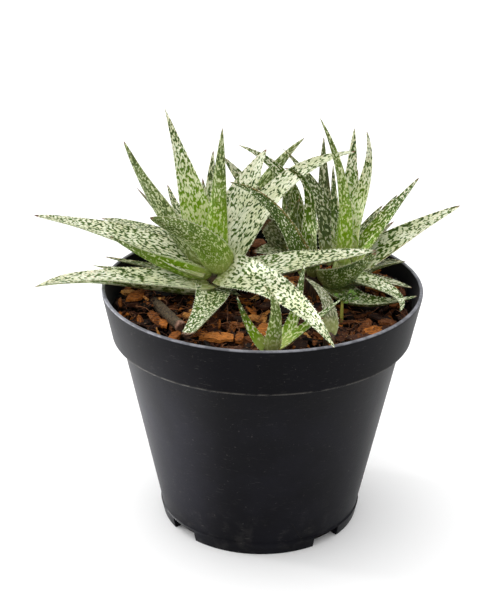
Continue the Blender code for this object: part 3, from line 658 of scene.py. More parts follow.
def stub_finish():
    """A dead flower stalk: grey-brown fibres and a pinkish broken end."""
    f = Finish("dead_stalk")
    along = f.attribute("along", "Fac")
    place = f.place()
    fibres = f.noise(f.stretched(place, 2.2, 1.0, 2.2), 1.0, 3.0, 0.6, 0.6)
    patches = f.noise(place, 0.35, 2.0)
    bark = f.mix(fibres.rises(0.38, 0.62), (34, 25, 15), (96, 78, 52))
    bark = f.mix(patches.rises(0.5, 0.7) * 0.5, bark, (92, 84, 62))
    return f.coat(f.mix(along.rises(0.9, 0.97), bark, (150, 112, 92)), 0.8, fibres, 0.5)


def seedling_finish():
    """A soft weed seedling: a yellowish stem and veined green leaflets."""
    f = Finish("seedling_green")
    place = f.place()
    height = f.split(place)[2]
    veins = f.noise(f.stretched(place, 1.0, 1.0, 2.0), 1.4, 2.0)
    leaf = f.mix(veins.rises(0.4, 0.6), (48, 80, 10), (92, 124, 30))
    painted = f.mix(height.rises(100.2, 98.6), leaf, (178, 178, 78))
    return f.coat(painted, 0.45 + 0.2 * veins, veins, 0.12)


class Shape:
    """Vertices in millimetres, faces, edges and point values, gathered for one piece."""

    def __init__(self):
        self.verts = []
        self.faces = []
        self.edges = []
        self.values = {}
        self.count = 0

    def add(self, verts, faces=(), edges=(), **values):
        self.faces += [tuple(self.count + i for i in face) for face in faces]
        self.edges += [tuple(self.count + i for i in edge) for edge in edges]
        self.verts.append(np.asarray(verts, float))
        self.count += len(verts)
        for name, value in values.items():
            self.values.setdefault(name, []).append(np.asarray(value, np.float32))
        return self

    def piece(self, name, finish=None, smooth=True, outward=True):
        mesh = bpy.data.meshes.new(name)
        verts = np.concatenate(self.verts) * MM
        mesh.from_pydata(verts.tolist(), self.edges, self.faces)
        for key, parts in self.values.items():
            whole = np.concatenate(parts)
            kind, field = ("FLOAT_VECTOR", "vector") if whole.ndim == 2 else ("FLOAT", "value")
            attribute = mesh.attributes.new(key, kind, "POINT")
            attribute.data.foreach_set(field, whole.ravel())
        if finish:
            mesh.materials.append(finish)
        if outward and self.faces:
            face_outward(mesh)
        if smooth:
            mesh.shade_smooth()
        return placed(name, mesh)


def placed(name, data):
    obj = bpy.data.objects.new(name, data)
    bpy.context.scene.collection.objects.link(obj)
    return obj


def face_outward(mesh):
    work = bmesh.new()
    work.from_mesh(mesh)
    bmesh.ops.recalc_face_normals(work, faces=work.faces)
    work.to_mesh(mesh)
    work.free()


def plain_mesh(name, obj):
    """The object with its modifiers made real, in place of the object."""
    bpy.context.view_layer.update()
    graph = bpy.context.evaluated_depsgraph_get()
    mesh = bpy.data.meshes.new_from_object(obj.evaluated_get(graph))
    mesh.name = name
    source = obj.data
    bpy.data.objects.remove(obj, do_unlink=True)
    bpy.data.meshes.remove(source)
    return placed(name, mesh)


class Repeats(Tree):
    """A geometry node tree with named inputs, which ends in real geometry with one finish."""

    def __init__(self, name):
        super().__init__(bpy.data.node_groups.new(name, "GeometryNodeTree"))
        for way in ("INPUT", "OUTPUT"):
            self.tree.interface.new_socket("Geometry", in_out=way,
                                           socket_type="NodeSocketGeometry")
        self.start = self.tree.nodes.new("NodeGroupInput")
        self.settings = {}

    def geometry(self):
        return Wire(self, self.start.outputs[0])

    def size(self, name, value, kind="NodeSocketFloat"):
        """A named input and the value that the modifier gives it."""
        socket = self.tree.interface.new_socket(name, in_out="INPUT", socket_type=kind)
        self.settings[socket.identifier] = value
        return Wire(self, self.find(self.start.outputs, socket.identifier))

    def named(self, name, kind="FLOAT"):
        return self.node("GeometryNodeInputNamedAttribute", {"Name": name}, "Attribute",
                         data_type=kind)

    def finish(self, geometry, material):
        real = self.node("GeometryNodeRealizeInstances", {"Geometry": geometry})
        dressed = self.node("GeometryNodeSetMaterial", {"Geometry": real, "Material": material})
        end = self.tree.nodes.new("NodeGroupOutput")
        self.tree.links.new(dressed.socket, end.inputs[0])

    def grow(self, name, base):
        """The piece that the tree makes from the base object."""
        modifier = base.modifiers.new("grow", "NODES")
        modifier.node_group = self.tree
        for identifier, value in self.settings.items():
            modifier[identifier] = value
        grown = plain_mesh(name, base)
        bpy.data.node_groups.remove(self.tree)
        return grown


def unit(v):
    return v / np.linalg.norm(v, axis=-1, keepdims=True)


def square_to(along, towards):
    """Two directions across a line, the first level where towards is up."""
    side = unit(np.cross(along, towards))
    return side, np.cross(side, along)


def rows(*parts):
    """One row for each point, from values that go by ring, by side or for all."""
    return np.stack(np.broadcast_arrays(*parts), -1).reshape(-1, len(parts))


def walls(rings, sides):
    """The faces between rings of points."""
    return [(low + k, low + (k + 1) % sides, low + sides + (k + 1) % sides, low + sides + k)
            for low in range(0, (rings - 1) * sides, sides) for k in range(sides)]


def tube(rings, sides):
    """The walls, and fans that close the ends on the two points that follow the rings."""
    first, top = rings * sides, (rings - 1) * sides
    faces = walls(rings, sides)
    for k in range(sides):
        after = (k + 1) % sides
        faces += [(first, after, k), (top + k, top + after, first + 1)]
    return faces


def leaf_root(head, leaf):
    if leaf.root:
        return np.array(leaf.root, float)
    out = np.array([leaf.path[0][0] - head.x, leaf.path[0][1] - head.y])
    out = out / np.linalg.norm(out) * 0.45 * head.radius
    return np.array([head.x + out[0], head.y + out[1], leaf.seat])


class Spine:
    """The middle line of a leaf, a curve through its points, with the way that its face looks."""

    def __init__(self, head, leaf):
        points = np.array([leaf_root(head, leaf), *leaf.path], float)
        steps = np.linalg.norm(np.diff(points, axis=0), axis=1)
        at = np.concatenate([[0.0], np.cumsum(steps)]) / steps.sum()
        degree = min(3, len(points) - 1)
        self.length = steps.sum()
        self.curve = [np.polyfit(at, points[:, k], degree) for k in range(3)]
        self.leaf = leaf
        out = points[-1] - points[0]
        out[2] = 0.0
        self.face = np.array(leaf.face or (0, 0, 1), float)
        if not leaf.face:
            self.face -= unit(out)

    def point(self, t):
        return np.stack([np.polyval(c, t) for c in self.curve], -1)

    def frame(self, t):
        """The directions along the leaf, across it and out of its upper face."""
        along = unit(np.stack([np.polyval(np.polyder(c), t) for c in self.curve], -1))
        up = unit(self.face - (along @ self.face)[..., None] * along)
        return along, np.cross(along, up), up

    def half_width(self, t):
        left = 1 - t * (1 - self.leaf.blunt)
        taper = np.minimum(1.0, left / (1 - WIDEST)) ** self.leaf.taper
        swell = 1 - ROOT_NARROWING * np.clip(1 - t / WIDEST, 0, 1) ** 2
        return 0.5 * self.leaf.width * taper * swell


def section():
    """Points round a leaf: across in half widths, below the margins in widths, and 1 on the back."""
    face = np.sin(np.linspace(-0.5, 0.5, FACE_POINTS) * math.pi)
    back = np.sin(np.linspace(0.5, -0.5, BACK_POINTS) * math.pi)[1:-1]
    face_drop = CHANNEL * (1 - face ** 2)
    back_drop = DEPTH * (1 - np.abs(back) ** BACK_POWERS[0]) ** BACK_POWERS[1]
    under = np.concatenate([np.zeros(FACE_POINTS), np.ones(len(back))])
    return np.concatenate([face, back]), np.concatenate([face_drop, back_drop]), under


def add_leaf(shape, margins, head, leaf, seed):
    """One leaf's skin, and the two lines that its teeth stand on."""
    spine = Spine(head, leaf)
    across, drop, under = section()
    look = leaf.look
    t = np.linspace(0, 1, max(FEWEST_RINGS, round(spine.length / RING_SPACING)) + 1)
    if not leaf.blunt:
        t = t[:-1]
    along, side, up = spine.frame(t)
    half = spine.half_width(t)
    rng = np.random.default_rng(seed)
    sway, _ = rng.uniform(0, 2 * math.pi, 2)
    wave = WAVE * leaf.width * np.sin(t * spine.length / WAVE_LENGTH + sway)
    centre = spine.point(t)
    lift = across ** 2 * wave[:, None] * np.sign(across)
    grid = (centre[:, None] + side[:, None] * (half[:, None] * across)[..., None]
            - up[:, None] * (2 * half[:, None] * drop - lift)[..., None])
    root = centre[0] - up[0] * half[0] * DEPTH
    if leaf.blunt:
        tip = centre[-1] - up[-1] * half[-1] * DEPTH - along[-1] * (TIP_HOLLOW * leaf.width)
    else:
        tip = spine.point(1.0)
    verts = np.concatenate([grid.reshape(-1, 3), [root, tip]])

    # The marks are longer towards the root, and finer across where the leaf is narrow.
    flow = spine.length * (0.42 * t + 0.20 * t ** 2) / look.coarse
    squeeze = half ** 0.6 * (leaf.width / 2) ** 0.4 / look.coarse
    offset = rng.uniform(0, LEAF_MARKS)
    at = (t * spine.length)[:, None]
    skin = rows(squeeze[:, None] * across + BACK_MARKS * under, flow[:, None], offset)
    place = rows(at, spine.length - at, across)
    wear = rows(look.tip, look.edge, under + 0 * at)
    shape.add(verts, tube(len(t), len(across)),
              skin=np.concatenate([skin, [(0, flow[0], offset), (0, flow[-1], offset)]]),
              place=np.concatenate([place, [(0, spine.length, 0), (spine.length, 0, 0)]]),
              look=np.tile((look.cream, look.bright, look.dull), (len(verts), 1)),
              wear=np.concatenate([wear, [(look.tip, look.edge, 1), (look.tip, look.edge, 0)]]))
    if leaf.width > TOOTHED_WIDTH:
        add_margins(margins, spine, wave)


def add_margins(margins, spine, wave):
    """The lines along both margins, with what a tooth there needs."""
    t = np.linspace(TEETH_FROM, TEETH_TO, max(8, round(spine.length / RING_SPACING)))
    along, side, up = spine.frame(t)
    half = spine.half_width(t)
    lift = np.interp(t, np.linspace(0, 1, len(wave)), wave)
    size = np.clip(half / FULL_TOOTH_HALF_WIDTH, 0.35, 1.0)
    size = size * np.clip((0.97 - t) / 0.15, 0.3, 1.0)
    edges = [(k, k + 1) for k in range(len(t) - 1)]
    for sign in (-1, 1):
        line = spine.point(t) + side * (sign * half - sign * 0.08)[:, None]
        line = line + up * (sign * lift)[:, None]
        outward = side * sign + along * TOOTH_LEAN
        margins.add(line, edges=edges, outward=outward, along=along, size=size)


def grow_teeth(name, margins, finish):
    """Small flattened cones along every margin, leaning towards the tip."""
    tree = Repeats("teeth")
    pitch = tree.size("Pitch", TOOTH_PITCH * MM)
    height = tree.size("Height", TOOTH_HEIGHT * MM)
    radius = tree.size("Radius", TOOTH_RADIUS * MM)
    seed = tree.size("Seed", TEETH_SEED, "NodeSocketInt")
    line = tree.node("GeometryNodeMeshToCurve", {"Mesh": tree.geometry()})
    line = tree.node("GeometryNodeResampleCurve", {"Curve": line, "Length": pitch}, mode="LENGTH")
    cone = tree.node("GeometryNodeMeshCone", {
        "Vertices": TOOTH_SIDES, "Radius Top": TOOTH_TIP * MM, "Radius Bottom": radius,
        "Depth": height})
    rotation = tree.node("FunctionNodeAlignRotationToVector", {
        "Vector": tree.named("outward", "FLOAT_VECTOR")}, axis="Z")
    rotation = tree.node("FunctionNodeAlignRotationToVector", {
        "Rotation": rotation, "Vector": tree.named("along", "FLOAT_VECTOR")},
        axis="X", pivot_axis="Z")
    chance = tree.node("FunctionNodeRandomValue", {
        "Min_001": 0.7, "Max_001": 1.15, "Seed": seed}, "Value_001", data_type="FLOAT")
    size = tree.named("size") * chance
    scale = tree.node("ShaderNodeCombineXYZ", {"X": size, "Y": size * 0.5, "Z": size})
    teeth = tree.node("GeometryNodeInstanceOnPoints", {
        "Points": line, "Instance": cone, "Rotation": rotation, "Scale": scale})
    tree.finish(teeth, finish)
    return tree.grow(name, margins.piece(name + "_lines"))


def add_turned(shape, profile, steps, centre=(0, 0), swell=None):
    """A body turned about an upright axis from (radius, height) points, closed at both ends."""
    turns = np.arange(steps) * 2 * math.pi / steps
    verts = []
    for radius, height in profile:
        radii = radius + np.array([swell(turn, height) if swell else 0.0 for turn in turns])
        verts.append(rows(centre[0] + radii * np.cos(turns), centre[1] + radii * np.sin(turns),
                          height))
    verts.append([(*centre, profile[0][1]), (*centre, profile[-1][1])])
    shape.add(np.concatenate(verts), tube(len(profile), steps))


def arc(x, z, radius, start, end, steps):
    """Points on an arc in the profile's plane, with its angles in degrees."""
    angles = [math.radians(start + (end - start) * k / steps) for k in range(steps + 1)]
    return [(x + radius * math.cos(a), z + radius * math.sin(a)) for a in angles]


def make_pot(finish):
    """The pot: a foot line, a tapered wall, a wider band, a rounded rim and four notches."""
    foot = BASE_RADIUS + WALL_SLOPE * FOOT_HEIGHT
    inside = RIM_RADIUS - WALL
    profile = [
        (BASE_RADIUS - EDGE_ROUND, 0),
        *arc(BASE_RADIUS - EDGE_ROUND, EDGE_ROUND, EDGE_ROUND, -90, -5, 4)[1:],
        (foot - 0.05, FOOT_HEIGHT - 0.25),
        (foot - 0.2, FOOT_HEIGHT),
        (foot - FOOT_STEP, FOOT_HEIGHT + 0.35),
        (foot - FOOT_STEP + 0.1, FOOT_HEIGHT + 1),
        (WALL_TOP_RADIUS - 0.1, BAND_BOTTOM - BAND_UNDERCUT - 0.5),
        (WALL_TOP_RADIUS + 0.3, BAND_BOTTOM - BAND_UNDERCUT),
        (BAND_BOTTOM_RADIUS - 0.6, BAND_BOTTOM - 0.35),
        *arc(BAND_BOTTOM_RADIUS - EDGE_ROUND, BAND_BOTTOM + 0.2, EDGE_ROUND, -70, 8, 5),
        (RIM_RADIUS - 0.12, POT_HEIGHT - 1.4),
        *arc(RIM_RADIUS - RIM_OUTER_ROUND, POT_HEIGHT - RIM_OUTER_ROUND, RIM_OUTER_ROUND,
             10, 90, 7),
        *arc(inside + RIM_INNER_ROUND, POT_HEIGHT - RIM_INNER_ROUND, RIM_INNER_ROUND, 90, 180, 3),
        (inside - 0.3, POT_HEIGHT - RIM_ROUND * 2),
        (BAND_BOTTOM_RADIUS - WALL, BAND_BOTTOM + WALL),
        (WALL_TOP_RADIUS - WALL, BAND_BOTTOM - BAND_UNDERCUT + WALL),
        (BASE_RADIUS - WALL + WALL_SLOPE * BASE_THICKNESS, BASE_THICKNESS),
    ]
    shape = Shape()
    add_turned(shape, profile, POT_STEPS)
    blank = shape.piece("pot_blank", finish, smooth=False)
    cutters = [notch_cutter(number) for number in range(NOTCHES)]
    for cutter in cutters:
        cut = blank.modifiers.new("notch", "BOOLEAN")
        cut.operation = "DIFFERENCE"
        cut.solver = "EXACT"
        cut.object = cutter
    pot = plain_mesh("nursery_pot", blank)
    for cutter in cutters:
        bpy.data.objects.remove(cutter, do_unlink=True)
    pot.data.shade_smooth()
    pot.data.set_sharp_from_angle(angle=math.radians(SHARP_ANGLE))
    return pot


def notch_cutter(number):
    turn = math.radians(NOTCH_FIRST + 360 / NOTCHES * number)
    out = np.array([math.cos(turn), math.sin(turn), 0])
    side = np.array([-math.sin(turn), math.cos(turn), 0])
    corners = []
    for height in (-NOTCH_BELOW, NOTCH_HEIGHT):
        for reach, across in ((-NOTCH_REACH, -1), (NOTCH_BEYOND, -1), (NOTCH_BEYOND, 1),
                              (-NOTCH_REACH, 1)):
            corner = out * (BASE_RADIUS + reach) + side * across * NOTCH_WIDTH / 2
            corners.append((corner[0], corner[1], height))
    faces = [(0, 3, 2, 1), (4, 5, 6, 7), *walls(2, 4)]
    return Shape().add(corners, faces).piece(f"notch_{number}", smooth=False)


def inner_radius(z):
    """The pot's inside radius at a height."""
    shoulder = BAND_BOTTOM + WALL
    if z > shoulder:
        share = (z - shoulder) / (POT_HEIGHT - shoulder)
        return BAND_BOTTOM_RADIUS - WALL + (RIM_RADIUS - BAND_BOTTOM_RADIUS - 0.3) * share
    share = max(0.0, z - BASE_THICKNESS) / (shoulder - BASE_THICKNESS)
    return BASE_RADIUS - WALL + (WALL_TOP_RADIUS - BASE_RADIUS) * share


def mix_height(x, y):
    """The level of the mix, higher towards the back left, with gentle lumps and the heaps."""
    rise = MIX_RISE * (y - x) / RIM_RADIUS / 2
    rise += LUMP_HEIGHT * math.sin(0.23 * x + 0.4) * math.sin(0.19 * y + 1.1)
    for heap in HEAPS:
        share = math.hypot(x - heap.x, y - heap.y) / heap.reach
        rise += heap.height * max(0.0, 1 - share ** 2) ** 2
    return MIX_LEVEL + rise


class Headroom:
    """How low the plants come over each place, on a grid."""

    CELL = 1.5
    REACH = 66.0

    def __init__(self, shapes):
        size = int(2 * self.REACH / self.CELL)
        self.lowest = np.full((size, size), np.inf)
        points = np.concatenate([np.concatenate(shape.verts) for shape in shapes])
        points = points[points[:, 2] > MIX_LEVEL - 2]
        cells = ((points[:, :2] + self.REACH) / self.CELL).astype(int)
        inside = ((cells >= 0) & (cells < size)).all(axis=1)
        cells, heights = cells[inside], points[inside, 2]
        np.minimum.at(self.lowest, (cells[:, 0], cells[:, 1]), heights)

    def over(self, x, y, reach):
        low_x, low_y = (max(0, int((v + self.REACH - reach) / self.CELL)) for v in (x, y))
        high_x, high_y = (int((v + self.REACH + reach) / self.CELL) + 1 for v in (x, y))
        near = self.lowest[low_x:high_x, low_y:high_y]
        return float(near.min()) - GAP if near.size else math.inf


def make_bed(headroom, finish):
    """The mix as it fills the pot, with a crumbly top that keeps under the leaves."""
    bottom = BASE_THICKNESS + GAP
    turns = np.arange(BED_STEPS) * 2 * math.pi / BED_STEPS
    verts = []
    for height in (bottom, *BED_HEIGHTS):
        radius = inner_radius(height) - GAP
        verts += [(radius * math.cos(a), radius * math.sin(a), height) for a in turns]
    outer = inner_radius(MIX_LEVEL) - GAP
    for ring in range(BED_RINGS):
        radius = outer * (1 - ring / BED_RINGS)
        verts += [bed_point(radius, a, headroom) for a in turns]
    faces = tube(len(verts) // BED_STEPS, BED_STEPS)
    verts += [(0, 0, bottom), bed_point(0, 0, headroom)]
    return Shape().add(verts, faces).piece("mix_bed", finish)


def bed_point(radius, turn, headroom):
    x, y = radius * math.cos(turn), radius * math.sin(turn)
    z = mix_height(x, y) - BED_DEPTH * (1 - BED_EDGE * (radius / RIM_RADIUS) ** 8)
    for kind in BED_CRUMBLES:
        spot = Vector((x, y, kind.level)) * kind.scale
        z += noise.fractal(spot, kind.roughness, 2.0, kind.octaves) * kind.height
    return x, y, min(z, headroom.over(x, y, 2.0) - GAP)


def scatter(rng, count, spacing, radius):
    """Random places in the pot that keep a distance from each other."""
    places = []
    tries = 0
    while len(places) < count and tries < SCATTER_TRIES * count:
        tries += 1
        r = radius * math.sqrt(rng.random())
        turn = rng.uniform(0, 2 * math.pi)
        x, y = r * math.cos(turn), r * math.sin(turn)
        if all((x - px) ** 2 + (y - py) ** 2 > spacing ** 2 for px, py in places):
            places.append((x, y))
    return places


def chip_points(rng, headroom, kind):
    """The points that chips grow on, each with its size, its turn about three axes and its tint."""
    shape = Shape()
    for x, y in scatter(rng, kind.count, kind.spacing, BARK_SPREAD):
        long = rng.uniform(*kind.length)
        wide = long * rng.uniform(*kind.width)
        thick = rng.uniform(*kind.thickness)
        turn = [rng.gauss(0, kind.tilt), rng.gauss(0, kind.tilt), rng.uniform(0, 2 * math.pi)]
        edge = inner_radius(MIX_LEVEL) - 1.0 - math.hypot(x, y)
        if edge < long / 2:
            turn = [0.4 * turn[0], 0.4 * turn[1], math.atan2(y, x) + math.pi / 2]
        if edge < wide / 2:
            continue
        rise = 0.5 * thick + 0.5 * long * abs(math.sin(turn[1])) + 0.7
        top = headroom.over(x, y, 0.5 * long + 1.0)
        z = min(mix_height(x, y) + rng.uniform(*kind.height), top - rise)
        tint = kind.tint * rng.betavariate(*BARK_TINTS)
        shape.add([(x, y, z)], scale=[(long, wide, thick)], turn=[turn], tint=[tint])
    return shape


def add_landmarks(shape, rng, headroom):
    """The points of the chips that the picture shows."""
    for mark in LANDMARKS:
        top = headroom.over(mark.x, mark.y, 0.4 * mark.length) - LANDMARK_THICKNESS
        z = min(mix_height(mark.x, mark.y) + LANDMARK_RISE, top)
        tilt = rng.gauss(0, LANDMARK_TILT), rng.gauss(0, LANDMARK_TILT)
        turn = (*tilt, math.radians(mark.turn))
        shape.add([(mark.x, mark.y, z)], scale=[(mark.length, mark.width, LANDMARK_THICKNESS)],
                  turn=[turn], tint=[mark.tint])


def grow_chips(points, kind, finish):
    """Blocks on the points, each narrower at its ends and uneven by the noise at its own place."""
    tree = Repeats(kind.name)
    amount = tree.size("Unevenness", kind.uneven * MM)
    taper = tree.size("Taper", kind.taper)
    sides = {f"Vertices {axis}": count for axis, count in zip("XYZ", kind.points)}
    cube = tree.node("GeometryNodeMeshCube", {"Size": (MM, MM, MM), **sides}, "Mesh")
    corner = tree.node("GeometryNodeInputPosition")
    along = tree.node("ShaderNodeSeparateXYZ", {0: corner}, "X") * (2 / MM)
    narrow = 1.0 - along * along * taper
    squeeze = tree.node("ShaderNodeCombineXYZ", {"X": 1.0, "Y": narrow, "Z": narrow})
    cube = tree.node("GeometryNodeSetPosition", {
        "Geometry": cube, "Position": tree.vector("MULTIPLY", corner, squeeze)})
    rotation = tree.node("FunctionNodeEulerToRotation", {
        "Euler": tree.named("turn", "FLOAT_VECTOR")})
    chips = tree.node("GeometryNodeInstanceOnPoints", {
        "Points": tree.geometry(), "Instance": cube, "Rotation": rotation,
        "Scale": tree.named("scale", "FLOAT_VECTOR")})
    chips = tree.node("GeometryNodeRealizeInstances", {"Geometry": chips})
    place = tree.node("GeometryNodeInputPosition")
    pushes = []
    for scale, share in BARK_BUMPS:
        wobble = tree.noise(place, scale, 1.0, out="Color")
        wobble = tree.vector("SUBTRACT", wobble, (0.5, 0.5, 0.5))
        pushes.append(tree.node("ShaderNodeVectorMath", {
            0: wobble, "Scale": amount * (2.0 * share)}, operation="SCALE"))
    chips = tree.node("GeometryNodeSetPosition", {
        "Geometry": chips, "Offset": tree.vector("ADD", *pushes)})
    tree.finish(chips, finish)
    grown = tree.grow(kind.name, points.piece(kind.name + "_points"))
    face_outward(grown.data)
    return grown


def fibre_lines(rng, headroom):
    """Curled coir fibres that lie on the chips where nothing is close above."""
    shape = Shape()
    for x, y in scatter(rng, FIBRES, FIBRE_SPACING, FIBRE_SPREAD):
        heading = rng.uniform(0, 2 * math.pi)
        bend = rng.uniform(-FIBRE_BEND, FIBRE_BEND)
        z = mix_height(x, y) + rng.uniform(*FIBRE_HEIGHT)
        climb = rng.uniform(*FIBRE_CLIMB)
        line = []
        for _ in range(rng.randint(*FIBRE_POINTS)):
            if math.hypot(x, y) > FIBRE_LIMIT:
                break
            line.append((x, y, min(z, headroom.over(x, y, 1.5) - 0.4)))
            x += FIBRE_STEP * math.cos(heading)
            y += FIBRE_STEP * math.sin(heading)
            z += climb
            climb -= rng.uniform(0, 0.12)
            heading += bend + rng.uniform(-0.25, 0.25)
        if len(line) > 3:
            add_line(shape, line, rng.uniform(*FIBRE_RADIUS))
    return shape


def add_line(shape, points, radius):
    """A line for a thread, which thins to half its radius."""
    thickness = [radius * (1 - 0.5 * k / len(points)) for k in range(len(points))]
    edges = [(k, k + 1) for k in range(len(points) - 1)]
    return shape.add(points, edges=edges, thickness=thickness)


def grow_threads(name, lines, finish):
    """Thin round threads along the lines."""
    tree = Repeats(name)
    sides = tree.size("Sides", 4, "NodeSocketInt")
    line = tree.node("GeometryNodeMeshToCurve", {"Mesh": tree.geometry()})
    circle = tree.node("GeometryNodeCurvePrimitiveCircle", {"Resolution": sides, "Radius": MM},
                       mode="RADIUS")
    thread = tree.node("GeometryNodeCurveToMesh", {
        "Curve": line, "Profile Curve": circle, "Fill Caps": True,
        "Scale": tree.named("thickness")})
    tree.finish(thread, finish)
    grown = tree.grow(name, lines.piece(name + "_lines"))
    face_outward(grown.data)
    grown.data.shade_smooth()
    return grown


def make_stub(finish):
    """The dead stub of a flower stalk, ribbed and fibrous, with a ragged end."""
    start, end = (np.array(p) for p in STUB_ENDS)
    along = unit(end - start)
    side, up = square_to(along, (0, 0, 1))
    rng = random.Random(STUB_SEED)
    ragged = [rng.uniform(*STUB_RAGGED) for _ in range(STUB_SIDES)]
    verts, share = [], []
    for ring in range(STUB_RINGS):
        t = ring / (STUB_RINGS - 1)
        for k in range(STUB_SIDES):
            turn = 2 * math.pi * k / STUB_SIDES
            spot = Vector((math.cos(turn) * 2, math.sin(turn) * 2, t * 5))
            uneven = 0.12 * noise.noise(spot) + 0.03 * math.cos(STUB_RIBS * turn)
            radius = STUB_RADIUS * (0.93 + uneven)
            place = start + (end - start) * t + along * ragged[k] * max(0.0, t - 0.9) / 0.1
            verts.append(place + (side * math.cos(turn) + up * math.sin(turn)) * radius)
            share.append(t)
    verts += [start, end - along * STUB_HOLLOW]
    share += [0.0, 1.0]
    shape = Shape().add(verts, tube(STUB_RINGS, STUB_SIDES), along=share)
    return shape.piece("dead_stalk_stub", finish)


def crown_ribs(turn, height):
    return CROWN_RIB_DEPTH * math.cos(CROWN_RIBS * turn + 0.4 * height)


def add_crown(shape, head):
    """The stem's top, with the clasping leaf bases as a soft swelling."""
    profile = [(0.85 * head.radius, MIX_LEVEL - 9), (0.9 * head.radius, MIX_LEVEL - 2)]
    for k in range(CROWN_RINGS):
        share = k / (CROWN_RINGS - 1)
        narrowing = (1 - 0.75 * share ** 3) * (0.88 + 0.12 * math.sin(3 * share))
        profile.append((0.92 * head.radius * narrowing,
                        MIX_LEVEL - 1 + (head.top - MIX_LEVEL + 1) * share))
    add_turned(shape, profile, CROWN_SIDES, (head.x, head.y), crown_ribs)


def make_seedling(finish):
    """A weed seedling: a thin stem, short stalks and lobed leaflets."""
    x, y = SEEDLING_PLACE
    shape = Shape()
    stem = [(0.75, MIX_LEVEL - 5), (0.7, MIX_LEVEL), (0.55, SEEDLING_TOP - 1), (0.45, SEEDLING_TOP)]
    add_turned(shape, stem, 10, SEEDLING_PLACE)
    for number, (dx, dy, z, size) in enumerate(LEAFLETS):
        base = np.array([x, y, SEEDLING_TOP - 0.4])
        centre = np.array([x + dx, y + dy, z])
        add_stalk(shape, base, centre)
        add_leaflet(shape, base, centre, size, number)
    return shape.piece("seedling_leaflets", finish)


def add_stalk(shape, base, end):
    side, up = square_to(unit(end - base), (0.3, 0.2, 1))
    verts = []
    for place in (base, (base + end) / 2, end):
        for k in range(STALK_SIDES):
            turn = math.pi / 3 * k
            verts.append(place + (side * math.cos(turn) + up * math.sin(turn)) * STALK_RADIUS)
    shape.add(verts, [(0, 5, 4, 3, 2, 1), (12, 13, 14, 15, 16, 17), *walls(3, STALK_SIDES)])


def add_leaflet(shape, base, centre, size, number):
    """A thin three-lobed blade, slightly cupped, that faces up and forwards."""
    out = unit((centre - base) * (1, 1, 0.2))
    side, up = square_to(out, unit(np.array([0.15 * math.sin(number), -0.45, 1.0])))
    verts = []
    for offset in (LEAFLET_HALF_THICKNESS, -LEAFLET_HALF_THICKNESS):
        verts.append(centre + up * offset)
        for k in range(LEAFLET_STEPS):
            turn = 2 * math.pi * k / LEAFLET_STEPS
            lobes = 1 + 0.18 * math.cos(3 * turn) - 0.25 * max(0.0, -math.cos(turn)) ** 3
            radius = 0.5 * size * lobes
            reach = out * math.cos(turn) * radius * 1.15 + side * math.sin(turn) * radius
            verts.append(centre + reach + up * (offset + 0.12 * size))
    faces = []
    low = LEAFLET_STEPS + 1
    for k in range(LEAFLET_STEPS):
        after = (k + 1) % LEAFLET_STEPS
        faces += [(0, 1 + k, 1 + after), (low, low + 1 + after, low + 1 + k),
                  (1 + k, low + 1 + k, low + 1 + after, 1 + after)]
    shape.add(verts, faces)


def make_camera():
    data = bpy.data.cameras.new("camera")
    data.lens = SENSOR * FOCAL_PIXELS / PICTURE_HEIGHT
    data.sensor_width = SENSOR
    camera = placed("camera", data)
    tilt = Matrix.Rotation(math.radians(90 - CAMERA_PITCH), 4, "X")
    roll = Matrix.Rotation(math.radians(CAMERA_ROLL), 4, "Z")
    camera.matrix_world = Matrix.Translation(CAMERA_PLACE * MM) @ tilt @ roll
    bpy.context.scene.camera = camera


def make_light():
    """A soft key and a bright sky from the upper left, behind the plant, and a panel at its left."""
    key = bpy.data.lights.new("key", "SUN")
    key.energy = KEY_STRENGTH
    key.angle = math.radians(KEY_WIDTH)
    placed("key", key).rotation_euler = KEY_WAY.to_track_quat("-Z", "Y").to_euler()
    panel = bpy.data.lights.new("left_panel", "AREA")
    panel.shape = "RECTANGLE"
    panel.size, panel.size_y = PANEL_SIZE
    panel.energy = PANEL_STRENGTH
    panel.spread = math.radians(PANEL_SPREAD)
    left = placed("left_panel", panel)
    left.location = PANEL_PLACE
    left.rotation_euler = (PANEL_AIM - PANEL_PLACE).to_track_quat("-Z", "Y").to_euler()
    world = bpy.data.worlds.new("room")
    bpy.context.scene.world = world
    world.use_nodes = True
    room = Tree(world.node_tree)
    way = room.node("ShaderNodeTexCoord", out="Generated")
    towards = room.vector("DOT_PRODUCT", way, SKY_WAY.normalized()[:], out="Value")
    sky = towards.rises(SKY_FROM, SKY_TO, SKY_DARK, SKY_BRIGHT)
    seen = room.node("ShaderNodeLightPath", out="Is Camera Ray")
    background = world.node_tree.nodes["Background"]
    background.inputs["Color"].default_value = (1, 1, 1, 1)
    room.tree.links.new(sky.larger(seen).socket, background.inputs["Strength"])


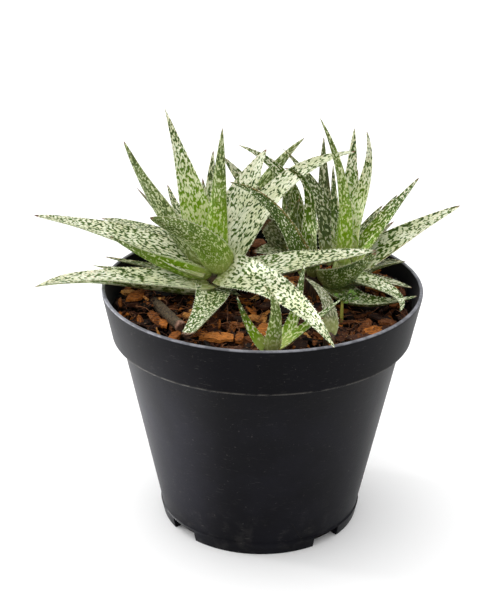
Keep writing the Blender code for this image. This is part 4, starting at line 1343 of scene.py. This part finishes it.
def make_floor():
    finish = Finish("white_floor").set(base_color=colour(252, 252, 252), roughness=0.9)
    corners = [(-FLOOR_SIDE, FLOOR_FRONT, 0), (FLOOR_SIDE, FLOOR_FRONT, 0),
               (FLOOR_SIDE, FLOOR_BACK, 0), (-FLOOR_SIDE, FLOOR_BACK, 0)]
    floor = Shape().add(corners, [(0, 1, 2, 3)]).piece("floor", finish, False, False)


def settle(piece, slot, *nodes):
    """The piece rides on the part's one body and stands for the nodes, which are hidden; the slot is
    not used.
    """
    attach(piece, BODY)
    if nodes:
        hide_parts(*nodes)


def make_plants():
    """Every plant's leaves, teeth and crowns. Returns the leaves, for the mix to keep under."""
    skin, teeth, crown = leaf_finish("aloe_skin"), tooth_finish(), crown_finish()
    shapes = []
    for number, (node, slot, heads) in enumerate(PLANTS):
        leaves, margins, crowns = Shape(), Shape(), Shape()
        for head in heads:
            for k, leaf in enumerate(head.leaves):
                add_leaf(leaves, margins, head, leaf, SEEDS_PER_PLANT * number + k)
            add_crown(crowns, head)
        shapes.append(leaves)
        settle(leaves.piece(node + "_skin", skin), slot, node)
        settle(grow_teeth(node + "_teeth", margins, teeth), slot)
        settle(crowns.piece(node + "_crown", crown), slot)
    return shapes


def make_mix(shapes):
    """The bed, its crumbs, chips and shards, the coir fibres and the loose root thread."""
    rng = random.Random(MIX_SEED)
    headroom = Headroom(shapes)
    bark, coir = bark_finish(), coir_finish()
    settle(make_bed(headroom, bed_finish()), "bark_mix", "potting_mix")
    kinds = (CRUMBS, FLAKES, SHARDS)
    crumbs, flakes, shards = (chip_points(rng, headroom, kind) for kind in kinds)
    add_landmarks(flakes, rng, headroom)
    for kind, points in zip(kinds, (crumbs, flakes, shards)):
        settle(grow_chips(points, kind, bark), "bark_mix")
    settle(grow_threads("coir_fibres", fibre_lines(rng, headroom), coir), "bark_mix")
    thread = add_line(Shape(), ROOT_THREAD, ROOT_THREAD_RADIUS)
    settle(grow_threads("root_thread", thread, coir), "bark_mix")


def main():
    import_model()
    bpy.context.scene.view_settings.view_transform = "Standard"
    make_camera()
    make_light()
    make_floor()
    settle(make_pot(pot_finish()), "pot_plastic", "pot")
    shapes = make_plants()
    settle(make_seedling(seedling_finish()), "seedling_leaf", "seedling")
    settle(make_stub(stub_finish()), "dead_stalk", "dead_stub")
    make_mix(shapes)


main()
